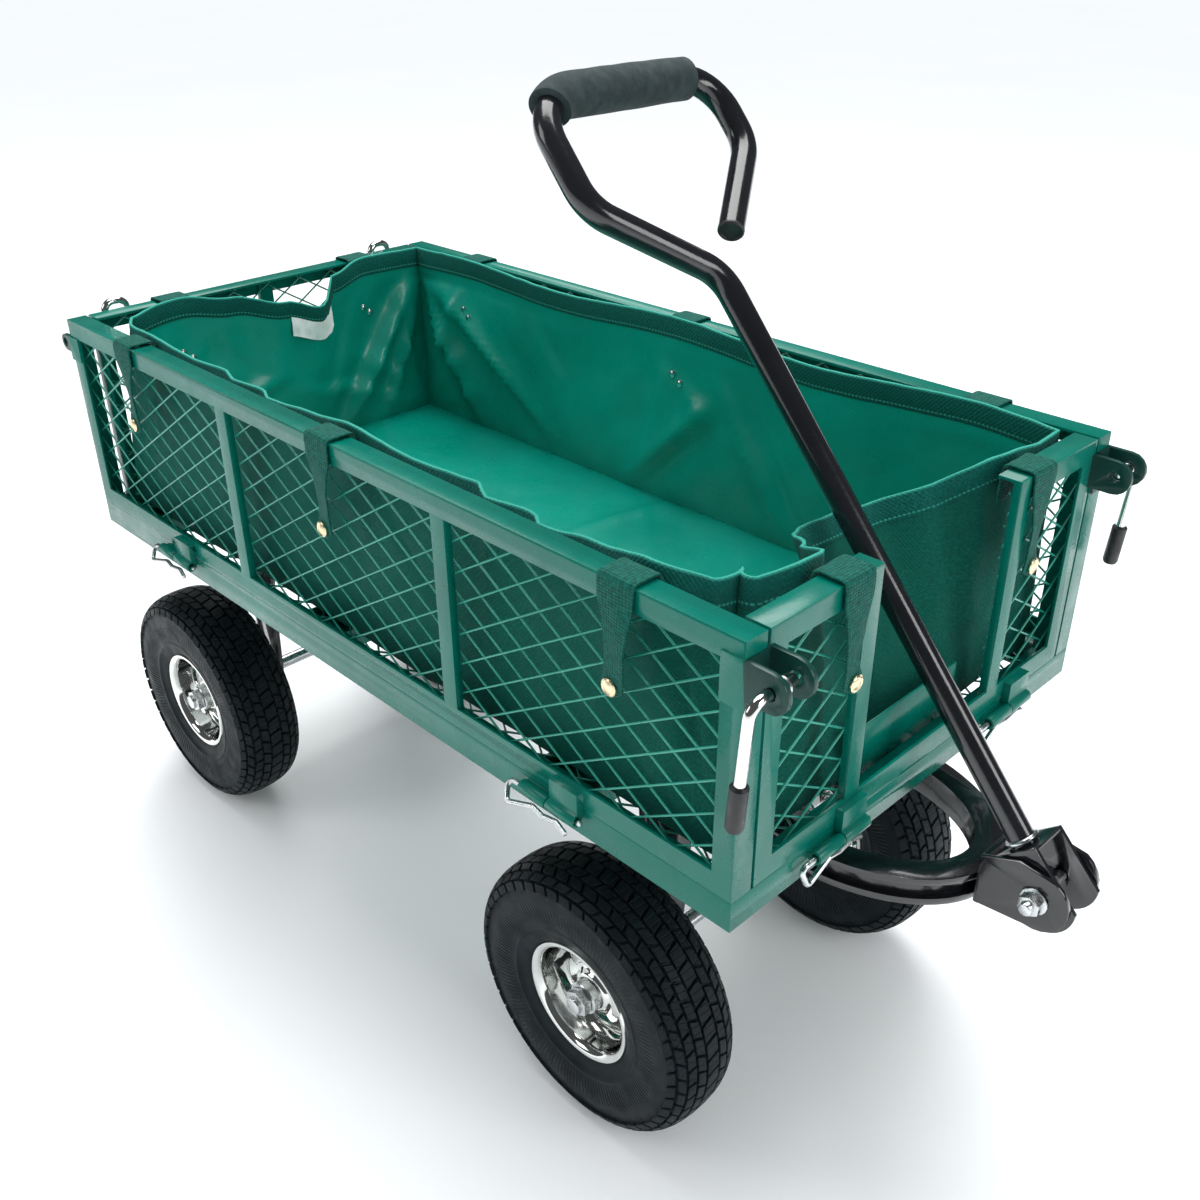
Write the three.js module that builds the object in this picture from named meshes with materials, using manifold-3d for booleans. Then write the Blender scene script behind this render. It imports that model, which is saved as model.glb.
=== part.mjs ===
// Garden cart: steel tray with four fold-down mesh panels, a hung fabric liner, four pneumatic wheels
// and a steered drawbar with a tubular handle. Millimetres; +X is forward, +Y is the cart's left, +Z is up.
import * as THREE from "three";
import { mergeVertices } from "three/addons/utils/BufferGeometryUtils.js";
import Module from "manifold-3d";

// ---- Driving dimensions -------------------------------------------------------------------------
const gap = 0.3; // between pieces that touch
const bedLength = 900;
const bedWidth = 456;
const bedBottom = 360; // height of the tray's underside
const skirtHeight = 25;
const sheet = 2.5; // wall of the folded steel sections
const flangeWidth = 20;
const panelHeight = 203;
const panelDepth = 20; // of the panel frames' angle sections
const endClearance = 3; // between an end panel and the side panels
const uprightWidth = 16;
const uprightDepth = 7;
const gateHalfOpening = 88;

const wireWidth = 2.6;
const wireSlope = THREE.MathUtils.degToRad(32);
const meshPitch = 129; // between parallel wires, along the panel
const floorPitch = 105;

const hingeOffset = 7; // from the tray's side out to the hinge axis
const hingeDrop = 7; // from the deck down to the hinge axis
const sideHingeSpread = 280; // of the two hinges from the panel's middle
const endHingeSpread = 115;
const barrelRadius = 5.5;
const barrelLength = 30;
const pinRadius = 2.4;
const pinClearance = 0.9;
const pinTail = 12; // pin beyond the barrels
const clipDrop = 24;

const latchDrop = 26; // of the latch rod below the top rail
const latchReach = { front: 20, rear: 11 }; // of the latch rods beyond the side panels' ends
const earRadius = { front: 14, rear: 8.5 };
const earThickness = 4;
const rodRadius = 4;
const rodClearance = 1;
const rodTipGap = 1.5; // between the rod's tip and the end panel's ear
const collarRadius = 7;
const leverDrop = 92;
const loopRise = 5; // of the rear latches' wire loops above the top rail
const sleeveRadius = 6.5;
const sleeveLength = 36;

const wheelRadius = 130;
const tyreHalfWidth = 38;
const tyreWall = 8;
const rimFlangeRadius = 58.5;
const rimHalfWidth = 29.5;
const beadSeatRadius = 50;
const rimSheet = 2;
const discOffset = 4; // of the rim's disc from the wheel's middle plane
const trackHalf = 167.5;
const hubRadius = 15;
const hubHalfLength = 24;
const axleRadius = 8;
const axleClearance = 1;
const frontAxleInset = 184; // from the tray's front end back to the front axle
const rearAxleInset = 57;

const plate = 4; // thickness of the undercarriage plates
const legHalfSpread = 88;
const legTopWidth = 70;
const legBottomWidth = 38;
const kingpinRadius = 9;
const turntableRadius = 55;

const ringHeight = 25;
const ringDrop = 37; // from the tray's underside down to the top of the ring
const ringWidth = 22;
const ringOverhang = 70; // of the ring's nose beyond the tray's front end
const ringBow = 130; // length of the ring's rounded front end
const ringGroove = 6;

const hitchReach = 46; // from the ring's nose to the hitch bolt
const hitchRise = 8; // of the hitch bolt above the ring
const hitchBoltRadius = 5;
const bracketHalfWidth = 24;
const bracketNose = 26;
const yokeNose = 29;
const yokePlate = 3.5;

const handleLean = THREE.MathUtils.degToRad(49.2); // of the shaft above the ground, leaning back
const tubeRadius = 10.5;
const tubeWall = 2;
const shaftLength = 511; // from the hitch bolt to the shaft's first bend
const loopLeft = 92;
const loopRight = 98;
const loopDepth = 160; // of the grip bar beyond the first bend
const loopBend = 36;
const gripRadius = 16.5;
const gripHalfLength = 58;
const capLength = 3;

const linerWall = 3;
const linerRise = 4; // of the liner's edge above the top rails
const linerClearance = 4.5; // from the panels' inner faces
const linerDipHalf = 84; // of the front wall's dip under the handle
const linerDipRise = 73;
const restPlateHalf = 70;
const restPlateRise = 47;

const strapWidth = 32;
const strapThickness = 3;
const strapDrop = 78; // of the outer end below the top rail
const strapTuck = 22; // of the inner end below the top rail
const sideStraps = [-325, 8, 345];
const endStraps = [-118, 118];

// ---- Sizes worked out from the driving dimensions ------------------------------------------------
const halfLength = bedLength / 2;
const halfWidth = bedWidth / 2;
const frontAxleX = halfLength - frontAxleInset;
const rearAxleX = rearAxleInset - halfLength;
const ringTop = bedBottom - ringDrop;
const ringNoseX = halfLength + ringOverhang;
const hitchX = ringNoseX + hitchReach;
const hitchZ = ringTop + hitchRise;
const deckTop = bedBottom + skirtHeight;
const panelBase = deckTop + gap;
const panelTop = deckTop + panelHeight;
const hingeZ = deckTop - hingeDrop;
const endHalfSpan = halfWidth - panelDepth - endClearance;
const latchZ = panelTop - latchDrop;
const linerTop = panelTop + linerRise;
const linerDipTop = deckTop + linerDipRise;
const restPlateTop = deckTop + restPlateRise;
const barrelBore = pinRadius + pinClearance;
const hubBore = axleRadius + axleClearance;

// ---- Materials -----------------------------------------------------------------------------------
const paint = { color: 0x0f6b52, roughness: 0.38, metalness: 0.15 };
const blackPaint = { color: 0x0d0e10, roughness: 0.3, metalness: 0.2 };
const zinc = { color: 0xc9ccd0, roughness: 0.22, metalness: 1 };
const chrome = { color: 0xdfe2e5, roughness: 0.12, metalness: 1 };
const rubber = { color: 0x17191c, roughness: 0.85, metalness: 0 };
const foam = { color: 0x3a4146, roughness: 0.9, metalness: 0 };
const fabric = { color: 0x006b50, roughness: 0.5, metalness: 0 };
const webbing = { color: 0x0b6a52, roughness: 0.8, metalness: 0 };

// ---- Solids --------------------------------------------------------------------------------------
const wasm = await Module();
wasm.setup();

function toSolid(geometry) {
  const bare = geometry.index ? geometry.toNonIndexed() : geometry.clone();
  const points = new THREE.BufferGeometry().setAttribute("position", bare.getAttribute("position"));
  const merged = mergeVertices(points, 1e-4);
  return new wasm.Manifold(
    new wasm.Mesh({
      numProp: 3,
      vertProperties: merged.attributes.position.array,
      triVerts: new Uint32Array(merged.index.array),
    }),
  );
}

function toGeometry(solid) {
  const mesh = solid.getMesh();
  const geometry = new THREE.BufferGeometry();
  geometry.setAttribute("position", new THREE.BufferAttribute(mesh.vertProperties, 3));
  geometry.setIndex(new THREE.BufferAttribute(mesh.triVerts, 1));
  const flat = geometry.toNonIndexed();
  flat.computeVertexNormals();
  return flat;
}

const join = (...solids) => wasm.Manifold.union(solids.flat());
const cut = (solid, ...tools) => solid.subtract(join(...tools));

// A box between two corners.
function box(x0, x1, y0, y1, z0, z1) {
  const geometry = new THREE.BoxGeometry(Math.abs(x1 - x0), Math.abs(y1 - y0), Math.abs(z1 - z0));
  return toSolid(geometry.translate((x0 + x1) / 2, (y0 + y1) / 2, (z0 + z1) / 2));
}

// A cylinder along Y, X or Z, between two places on its axis.
function rodY(radius, y0, y1, x, z, sides = 16) {
  const geometry = new THREE.CylinderGeometry(radius, radius, Math.abs(y1 - y0), sides);
  return toSolid(geometry.translate(x, (y0 + y1) / 2, z));
}
function rodX(radius, x0, x1, y, z, sides = 16) {
  const geometry = new THREE.CylinderGeometry(radius, radius, Math.abs(x1 - x0), sides).rotateZ(Math.PI / 2);
  return toSolid(geometry.translate((x0 + x1) / 2, y, z));
}
function rodZ(radius, z0, z1, x, y, sides = 16) {
  const geometry = new THREE.CylinderGeometry(radius, radius, Math.abs(z1 - z0), sides).rotateX(Math.PI / 2);
  return toSolid(geometry.translate(x, y, (z0 + z1) / 2));
}

// A plate normal to Y with its outline in X and Z, between two places on Y.
function plateY(outline, y0, y1, hole) {
  const shape = new THREE.Shape(outline.map(([x, z]) => new THREE.Vector2(x, z)));
  if (hole) shape.holes.push(new THREE.Path().absarc(hole.x, hole.z, hole.radius, 0, 2 * Math.PI, true));
  const depth = Math.abs(y1 - y0);
  const geometry = new THREE.ExtrudeGeometry(shape, { depth, bevelEnabled: false, curveSegments: 8 });
  return toSolid(geometry.rotateX(Math.PI / 2).translate(0, Math.max(y0, y1), 0));
}

// Points of an arc in a plane, from one angle to another, in degrees.
function arc(cx, cz, radius, from, to, steps) {
  const points = [];
  for (let i = 0; i <= steps; i++) {
    const angle = THREE.MathUtils.degToRad(from + ((to - from) * i) / steps);
    points.push([cx + radius * Math.cos(angle), cz + radius * Math.sin(angle)]);
  }
  return points;
}

// A line through points with its corners rounded.
function roundedPath(points, radius) {
  const path = new THREE.CurvePath();
  let from = points[0];
  for (let i = 1; i < points.length - 1; i++) {
    const corner = points[i];
    const before = corner.clone().sub(points[i - 1]);
    const after = points[i + 1].clone().sub(corner);
    const reach = Math.min(radius, before.length() * 0.49, after.length() * 0.49);
    const start = corner.clone().addScaledVector(before.normalize(), -reach);
    const end = corner.clone().addScaledVector(after.normalize(), reach);
    path.add(new THREE.LineCurve3(from, start));
    path.add(new THREE.QuadraticBezierCurve3(start, corner, end));
    from = end;
  }
  path.add(new THREE.LineCurve3(from, points[points.length - 1]));
  return path;
}

// A round section swept along a path; a wall makes it a hollow tube.
function sweep(path, radius, steps, sides = 10, wall = 0) {
  const section = new THREE.Shape();
  for (let i = 0; i < sides; i++) {
    const angle = (2 * Math.PI * i) / sides;
    section[i ? "lineTo" : "moveTo"](radius * Math.cos(angle), radius * Math.sin(angle));
  }
  if (wall) {
    const hole = new THREE.Path();
    for (let i = 0; i < sides; i++) {
      const angle = (-2 * Math.PI * i) / sides;
      hole[i ? "lineTo" : "moveTo"]((radius - wall) * Math.cos(angle), (radius - wall) * Math.sin(angle));
    }
    section.holes.push(hole);
  }
  return toSolid(new THREE.ExtrudeGeometry(section, { steps, extrudePath: path, bevelEnabled: false }));
}

// A profile of [radius, offset] turned about the Y axis. The profile closes on itself.
function turned(profile, segments) {
  const points = [...profile, profile[0]].map(([radius, offset]) => new THREE.Vector2(radius, offset));
  const solid = toSolid(new THREE.LatheGeometry(points, segments));
  return solid.volume() < 0 ? toSolid(new THREE.LatheGeometry(points.reverse(), segments)) : solid;
}

const mirrorY = (solid) => solid.mirror([0, 1, 0]);
const mirrorX = (solid) => solid.mirror([1, 0, 0]);

// ---- Scene graph ---------------------------------------------------------------------------------
const cart = new THREE.Group();
const contents = new THREE.Group();
cart.add(contents);

function addPiece(name, solid, finish) {
  const mesh = new THREE.Mesh(toGeometry(solid), new THREE.MeshStandardMaterial(finish));
  mesh.name = name;
  contents.add(mesh);
}

// ---- Tray ----------------------------------------------------------------------------------------
function crossMember(x) {
  const half = 30;
  const y = halfWidth - sheet;
  return join(
    box(x - half, x + half, -y, y, bedBottom, bedBottom + sheet),
    box(x - half, x - half + sheet, -y, y, bedBottom, deckTop - 5),
    box(x + half - sheet, x + half, -y, y, bedBottom, deckTop - 5),
  );
}

// Half a hinge on the right side: a barrel along X with a tab, on the tray or on the panel.
function sideTrayBarrel(x) {
  const y = -halfWidth - hingeOffset;
  const tab = box(x - barrelLength, x - 0.5, -halfWidth + 0.5, y, hingeZ - 4, hingeZ + 3);
  const body = join(rodX(barrelRadius, x - barrelLength, x - 0.5, y, hingeZ, 12), tab);
  return cut(body, rodX(barrelBore, x - barrelLength - 1, x, y, hingeZ, 12));
}

function sidePanelBarrel(x) {
  const y = -halfWidth - hingeOffset;
  const face = box(x + 0.5, x + barrelLength, -halfWidth - gap, y, hingeZ, deckTop + 16);
  const root = box(x + 0.5, x + barrelLength, -halfWidth + 1, y, deckTop + 6, deckTop + 16);
  const body = join(rodX(barrelRadius, x + 0.5, x + barrelLength, y, hingeZ, 12), face, root);
  return cut(body, rodX(barrelBore, x, x + barrelLength + 1, y, hingeZ, 12));
}

// The end panels' hinges are the side ones turned to run along Y at the front.
function turnToFront(solid) {
  return solid.translate([0, halfWidth, 0]).rotate([0, 0, 90]).translate([halfLength, 0, 0]);
}

function trayFrame() {
  const outer = box(-halfLength, halfLength, -halfWidth, halfWidth, bedBottom, deckTop);
  const inside = box(
    -halfLength + sheet, halfLength - sheet, -halfWidth + sheet, halfWidth - sheet,
    bedBottom + sheet, deckTop - sheet,
  );
  const mouth = box(
    -halfLength + flangeWidth, halfLength - flangeWidth, -halfWidth + flangeWidth, halfWidth - flangeWidth,
    bedBottom - 1, deckTop + 1,
  );
  const frame = join(cut(outer, inside, mouth), crossMember(frontAxleX), crossMember(rearAxleX), crossMember(-60));
  const sideBarrels = [-sideHingeSpread, sideHingeSpread].map(sideTrayBarrel);
  const frontBarrels = [-endHingeSpread, endHingeSpread].map((y) => turnToFront(sideTrayBarrel(y)));
  return join(frame, sideBarrels, sideBarrels.map(mirrorY), frontBarrels, frontBarrels.map(mirrorX));
}

// The floor grille: a flat slab with a grid of openings between its wires.
function floorMesh() {
  const x = halfLength - sheet - gap;
  const y = halfWidth - sheet - gap;
  const bar = 4;
  const low = deckTop - 5 + gap;
  const high = deckTop - sheet - gap;
  const across = Math.ceil((2 * x) / floorPitch);
  const along = Math.ceil((2 * y) / floorPitch);
  const cellX = (2 * x - bar) / across;
  const cellY = (2 * y - bar) / along;
  const cells = [];
  for (let i = 0; i < across; i++) {
    for (let j = 0; j < along; j++) {
      const left = -x + bar + i * cellX;
      const front = -y + bar + j * cellY;
      cells.push(box(left, left + cellX - bar, front, front + cellY - bar, low - 1, high + 1));
    }
  }
  return cut(box(-x, x, -y, y, low, high), ...cells);
}

addPiece("tray_frame", trayFrame(), paint);
addPiece("floor_mesh", floorMesh(), paint);
addPiece(
  "handle_rest_plate",
  box(
    halfLength - flangeWidth - gap - 2, halfLength - flangeWidth - gap, -restPlateHalf, restPlateHalf,
    deckTop - sheet, restPlateTop,
  ),
  paint,
);

// ---- Panels --------------------------------------------------------------------------------------
// A flat grille of crossed wires in X and Z, with a border, between two places on Y.
function grille(x0, x1, z0, z1, y0, y1) {
  const width = x1 - x0;
  const height = z1 - z0;
  const reach = (width + height) * 1.5;
  const half = wireWidth / 2;
  const middleX = (x0 + x1) / 2;
  const middleZ = (z0 + z1) / 2;
  const count = Math.ceil((width / 2 + height / 2 / Math.tan(wireSlope)) / meshPitch);
  const wires = [];
  for (let i = -count; i <= count; i++) {
    for (const side of [-1, 1]) {
      const bar = new THREE.BoxGeometry(reach, y1 - y0, wireWidth).rotateY(side * wireSlope);
      wires.push(toSolid(bar.translate(middleX + i * meshPitch, (y0 + y1) / 2, middleZ)));
    }
  }
  const rim = box(x0, x1, y0, y1, z0, z1);
  const border = cut(rim, box(x0 + 2 * half, x1 - 2 * half, y0 - 1, y1 + 1, z0 + 2 * half, z1 - 2 * half));
  return join(join(wires).intersect(rim), border);
}

// A panel in the plane of the right side: angle rails and posts along its edges.
function angleFrame(x0, x1, outer, z0, z1, skip) {
  const inner = outer + panelDepth;
  const ring = cut(box(x0, x1, outer, inner, z0, z1), box(x0 + sheet, x1 - sheet, outer - 1, inner + 1, z0 + sheet, z1 - sheet));
  const lip = panelDepth - 2;
  const web = cut(
    box(x0, x1, outer, outer + sheet, z0, z1),
    box(x0 + lip, x1 - lip, outer - 1, outer + sheet + 1, z0 + lip, z1 - lip),
  );
  const frame = join(ring, web);
  return skip ? cut(frame, skip) : frame;
}

function uprightAt(x, outer) {
  return box(x - uprightWidth / 2, x + uprightWidth / 2, outer, outer + uprightDepth, panelBase + 1, panelTop - 1);
}

// A plate with a rounded end and a hole for the latch rod, between two places on Y.
function ear(y0, y1, rootX, end) {
  const x = halfLength + latchReach[end];
  const radius = earRadius[end];
  const outline = [[rootX, latchZ + radius], [rootX, latchZ - radius], ...arc(x, latchZ, radius, -90, 90, 8)];
  return plateY(outline, y0, y1, { x, z: latchZ, radius: rodRadius + rodClearance });
}

const earOuter = -halfWidth - 1.5;

function panelCorner(end) {
  const low = latchZ - earRadius[end] - 8;
  const high = latchZ + earRadius[end];
  const sleeve = join(
    box(halfLength - 18, halfLength + sheet, earOuter, -halfWidth + 0.5, low, high),
    box(halfLength - 0.5, halfLength + sheet, earOuter, -halfWidth + panelDepth - gap, low, high),
  );
  return join(sleeve, ear(earOuter, earOuter + earThickness, halfLength, end));
}

function sidePanelFrame() {
  const frame = angleFrame(-halfLength, halfLength, -halfWidth, panelBase, panelTop);
  const uprights = [-bedLength / 6 - 2, bedLength / 6 + 8].map((x) => uprightAt(x, -halfWidth));
  const barrels = [-sideHingeSpread, sideHingeSpread].map(sidePanelBarrel);
  return join(frame, uprights, panelCorner("front"), mirrorX(panelCorner("rear")), barrels);
}

function sidePanelMesh() {
  const x = halfLength - sheet - gap;
  const y = -halfWidth + uprightDepth + gap;
  return grille(-x, x, panelBase + sheet + gap, panelTop - sheet - gap, y, y + wireWidth);
}

// The end panels are drawn in the right side's plane and turned to the front.
function endPanelFrame(openMiddle) {
  const skip = openMiddle
    ? box(-gateHalfOpening, gateHalfOpening, -halfWidth - 5, -halfWidth + panelDepth + 5, panelBase + 18, panelTop + 5)
    : undefined;
  const frame = angleFrame(-endHalfSpan, endHalfSpan, -halfWidth, panelBase, panelTop, skip);
  const middle = gateHalfOpening + uprightWidth / 2;
  const uprights = (openMiddle ? [-middle, middle] : [0]).map((x) => uprightAt(x, -halfWidth));
  const barrels = [-endHingeSpread, endHingeSpread].map(sidePanelBarrel);
  const drawn = turnToFront(join(frame, uprights, barrels));
  const end = openMiddle ? "front" : "rear";
  const outerEar = ear(-endHalfSpan, -endHalfSpan + earThickness, halfLength - 3, end);
  return join(drawn, outerEar, mirrorY(outerEar));
}

function endPanelMesh(x0, x1) {
  const y = -halfWidth + uprightDepth + gap;
  return turnToFront(grille(x0, x1, panelBase + sheet + gap, panelTop - sheet - gap, y, y + wireWidth));
}

const meshEnd = endHalfSpan - sheet - gap;
const gateMeshStart = gateHalfOpening + 1;
addPiece("right_panel_frame", sidePanelFrame(), paint);
addPiece("right_panel_mesh", sidePanelMesh(), paint);
addPiece("left_panel_frame", mirrorY(sidePanelFrame()), paint);
addPiece("left_panel_mesh", mirrorY(sidePanelMesh()), paint);
addPiece("rear_panel_frame", mirrorX(endPanelFrame(false)), paint);
addPiece("rear_panel_mesh", mirrorX(endPanelMesh(-meshEnd, meshEnd)), paint);
addPiece("front_gate_frame", endPanelFrame(true), paint);
addPiece("front_gate_mesh_right", endPanelMesh(-meshEnd, -gateMeshStart), paint);
addPiece("front_gate_mesh_left", endPanelMesh(gateMeshStart, meshEnd), paint);

// ---- Hinge pins: a wire through both barrels that ends in a hanging loop ---------------------------
function hingePin(x) {
  const y = -halfWidth - hingeOffset;
  const start = x + barrelLength + 4;
  const end = x - barrelLength - pinTail;
  const points = [
    new THREE.Vector3(start, y, hingeZ),
    new THREE.Vector3(end, y, hingeZ),
    new THREE.Vector3(end - 6, y, hingeZ - clipDrop),
    new THREE.Vector3(end + 14, y, hingeZ - clipDrop),
    new THREE.Vector3(end + 8, y, hingeZ - barrelRadius - pinRadius - 4),
  ];
  return sweep(roundedPath(points, 5), pinRadius, 16, 5);
}

const sidePins = { rear: -sideHingeSpread, front: sideHingeSpread };
for (const [place, x] of Object.entries(sidePins)) {
  addPiece("hinge_pin_right_" + place, hingePin(x), zinc);
  addPiece("hinge_pin_left_" + place, mirrorY(hingePin(x)), zinc);
}
const endPins = { right: -endHingeSpread, left: endHingeSpread };
for (const [place, y] of Object.entries(endPins)) {
  addPiece("hinge_pin_front_" + place, turnToFront(hingePin(y)), zinc);
  addPiece("hinge_pin_rear_" + place, mirrorX(turnToFront(hingePin(y))), zinc);
}

// ---- Corner latches: a rod with a collar, a bent lever and a rubber sleeve -------------------------
function frontLatchPin() {
  const x = halfLength + latchReach.front;
  const tip = -endHalfSpan - rodTipGap;
  const bend = earOuter - 14;
  const points = [
    new THREE.Vector3(x, tip, latchZ),
    new THREE.Vector3(x, bend, latchZ),
    new THREE.Vector3(x - 6, bend - 3, latchZ - 45),
    new THREE.Vector3(x - 6, bend - 3, latchZ - leverDrop),
  ];
  const sleeveLow = latchZ - leverDrop - 2;
  const collarAt = earOuter + earThickness + 4;
  return join(
    sweep(roundedPath(points, 5), rodRadius, 14, 6),
    rodY(collarRadius, collarAt, collarAt + 4, x, latchZ, 8),
    rodZ(sleeveRadius, sleeveLow, sleeveLow + sleeveLength, x - 6, bend - 3, 8),
  );
}

// A rear rod rides on the rear panel, slides outwards, and ends in a wire loop over the rail.
function rearLatchPin() {
  const x = halfLength + latchReach.rear;
  const bend = -endHalfSpan + earThickness + 16;
  const collarAt = -endHalfSpan - 8;
  const points = [
    new THREE.Vector3(x, earOuter + earThickness + rodTipGap, latchZ),
    new THREE.Vector3(x, bend, latchZ),
    new THREE.Vector3(x, bend + 4, panelTop + loopRise),
    new THREE.Vector3(x, bend + 26, panelTop + loopRise),
    new THREE.Vector3(x, bend + 30, latchZ),
  ];
  return join(
    sweep(roundedPath(points, 5), rodRadius, 14, 6),
    rodY(collarRadius, collarAt, collarAt + 4, x, latchZ, 8),
  );
}

addPiece("latch_pin_front_right", frontLatchPin(), chrome);
addPiece("latch_pin_front_left", mirrorY(frontLatchPin()), chrome);
addPiece("latch_pin_rear_right", mirrorX(rearLatchPin()), chrome);
addPiece("latch_pin_rear_left", mirrorX(mirrorY(rearLatchPin())), chrome);

// ---- Liner and its straps ------------------------------------------------------------------------
function liner() {
  const x = halfLength - panelDepth - linerClearance;
  const y = halfWidth - panelDepth - linerClearance;
  const base = deckTop + 1;
  const shell = cut(
    box(-x, x, -y, y, base, linerTop),
    box(-x + linerWall, x - linerWall, -y + linerWall, y - linerWall, base + linerWall, linerTop + 1),
  );
  return cut(shell, box(x - 20, x + 5, -linerDipHalf, linerDipHalf, linerDipTop, linerTop + 5));
}

// A strap over the right side's top rail at x: a long leg outside, a short one inside.
function strap(x) {
  const outer = -halfWidth - gap;
  const inner = -halfWidth + panelDepth + gap;
  const top = panelTop + gap;
  const x0 = x - strapWidth / 2;
  const x1 = x + strapWidth / 2;
  return join(
    box(x0, x1, outer - strapThickness, outer, panelTop - strapDrop, top + strapThickness),
    box(x0, x1, outer - strapThickness, inner + strapThickness, top, top + strapThickness),
    box(x0, x1, inner, inner + strapThickness, panelTop - strapTuck, top + strapThickness),
  );
}

addPiece("liner", liner(), fabric);
const sideStrapNames = ["rear", "middle", "front"];
sideStraps.forEach((x, i) => {
  addPiece("strap_right_" + sideStrapNames[i], strap(x), webbing);
  addPiece("strap_left_" + sideStrapNames[i], mirrorY(strap(x)), webbing);
});
const endStrapNames = ["right", "left"];
endStraps.forEach((y, i) => {
  addPiece("strap_front_" + endStrapNames[i], turnToFront(strap(y)), webbing);
  addPiece("strap_rear_" + endStrapNames[i], mirrorX(turnToFront(strap(y))), webbing);
});

// ---- Wheels --------------------------------------------------------------------------------------
function tyre() {
  const bead = beadSeatRadius + gap;
  const flangeSide = rimHalfWidth - rimSheet - gap;
  const shoulder = wheelRadius - 30;
  const outside = [
    [bead, flangeSide],
    [rimFlangeRadius + 2, flangeSide],
    [rimFlangeRadius + 14, tyreHalfWidth],
    [shoulder, tyreHalfWidth],
    [wheelRadius - 9, tyreHalfWidth - 8],
    [wheelRadius, tyreHalfWidth - 20],
  ];
  const inside = [
    [wheelRadius - tyreWall, tyreHalfWidth - 20],
    [shoulder, tyreHalfWidth - tyreWall],
    [bead, flangeSide - tyreWall],
  ];
  const flip = ([radius, offset]) => [radius, -offset];
  return turned([...outside, ...outside.map(flip).reverse(), ...inside.map(flip).reverse(), ...inside], 24);
}

// The rim's section, with its disc and centre hole, open on both sides.
function rim() {
  const seat = beadSeatRadius - rimSheet;
  const drop = seat - 4;
  const hole = hubRadius + gap;
  const profile = [
    [rimFlangeRadius, rimHalfWidth],
    [rimFlangeRadius, rimHalfWidth - rimSheet],
    [beadSeatRadius, rimHalfWidth - rimSheet],
    [beadSeatRadius, -rimHalfWidth + rimSheet],
    [rimFlangeRadius, -rimHalfWidth + rimSheet],
    [rimFlangeRadius, -rimHalfWidth],
    [seat, -rimHalfWidth],
    [drop, discOffset - rimSheet],
    [hole, discOffset - rimSheet - 3],
    [hole, discOffset - 3],
    [drop, discOffset],
    [seat, rimHalfWidth],
  ];
  const openings = [];
  for (let i = 0; i < 5; i++) {
    const angle = (2 * Math.PI * i) / 5;
    openings.push(rodY(6, -20, 20, 30 * Math.cos(angle), 30 * Math.sin(angle), 6));
  }
  return cut(turned(profile, 24), ...openings);
}

function hub() {
  return turned(
    [
      [hubBore, -hubHalfLength],
      [hubRadius, -hubHalfLength],
      [hubRadius, hubHalfLength],
      [hubBore, hubHalfLength],
    ],
    12,
  );
}

// An axle with a hex nut at each end, just outside the hubs.
function axle(x) {
  const inner = trackHalf + hubHalfLength + gap;
  const nut = rodY(13, inner, inner + 8, x, wheelRadius, 6);
  return join(rodY(axleRadius, -inner - 12, inner + 12, x, wheelRadius, 12), nut, mirrorY(nut));
}

const wheelPlaces = [
  ["front_right", frontAxleX, -1],
  ["front_left", frontAxleX, 1],
  ["rear_right", rearAxleX, -1],
  ["rear_left", rearAxleX, 1],
];
for (const [place, x, side] of wheelPlaces) {
  const seat = (solid) => (side < 0 ? mirrorY(solid) : solid).translate([x, side * trackHalf, wheelRadius]);
  addPiece("tyre_" + place, seat(tyre()), rubber);
  addPiece("rim_" + place, seat(rim()), chrome);
  addPiece("hub_" + place, seat(hub()), zinc);
}

// ---- Undercarriage -------------------------------------------------------------------------------
// A saddle: a top plate with two tapering legs that carry the axle.
function saddle(x, top) {
  const outline = [
    [x - legTopWidth / 2, top],
    [x - legBottomWidth / 2, wheelRadius - 22],
    [x + legBottomWidth / 2, wheelRadius - 22],
    [x + legTopWidth / 2, top],
  ];
  const hole = { x, z: wheelRadius, radius: axleRadius + gap + 0.2 };
  const leg = plateY(outline, legHalfSpread, legHalfSpread + plate, hole);
  const half = legHalfSpread + plate;
  return join(leg, mirrorY(leg), box(x - legTopWidth / 2, x + legTopWidth / 2, -half, half, top - plate, top));
}

const bearingTop = bedBottom - gap - plate;
const bolsterTop = bearingTop - plate - gap;

// The fixed half of the turntable: a plate under the tray with a bearing disc welded below it.
function kingPlate() {
  const under = bedBottom - gap - plate;
  const body = box(frontAxleX - 45, frontAxleX + 45, -90, 90, under, bedBottom - gap);
  const disc = rodZ(turntableRadius, bearingTop - plate, under + 1, frontAxleX, 0, 28);
  return cut(join(body, disc), rodZ(kingpinRadius + gap, bedBottom - 40, bedBottom + 20, frontAxleX, 0));
}

function kingpin() {
  const head = bolsterTop - plate - gap;
  return join(
    rodZ(kingpinRadius, head - 4, bedBottom - gap - 1, frontAxleX, 0),
    rodZ(16, head - 10, head, frontAxleX, 0, 6),
  );
}

function bolster() {
  return cut(saddle(frontAxleX, bolsterTop), rodZ(kingpinRadius + 0.8, bolsterTop - 20, bolsterTop + 5, frontAxleX, 0));
}

// The ring's outline, drawn in from its outer edge: straight arms with an elliptical front.
function ringOutline(inset) {
  const shape = new THREE.Shape();
  const half = legHalfSpread - gap - inset;
  const rear = frontAxleX - 20;
  const bowX = ringNoseX - ringBow;
  shape.moveTo(rear, -half);
  shape.lineTo(bowX, -half);
  shape.absellipse(bowX, 0, ringBow - inset, half, -Math.PI / 2, Math.PI / 2, false, 0);
  shape.lineTo(rear, half);
  return shape;
}

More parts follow.
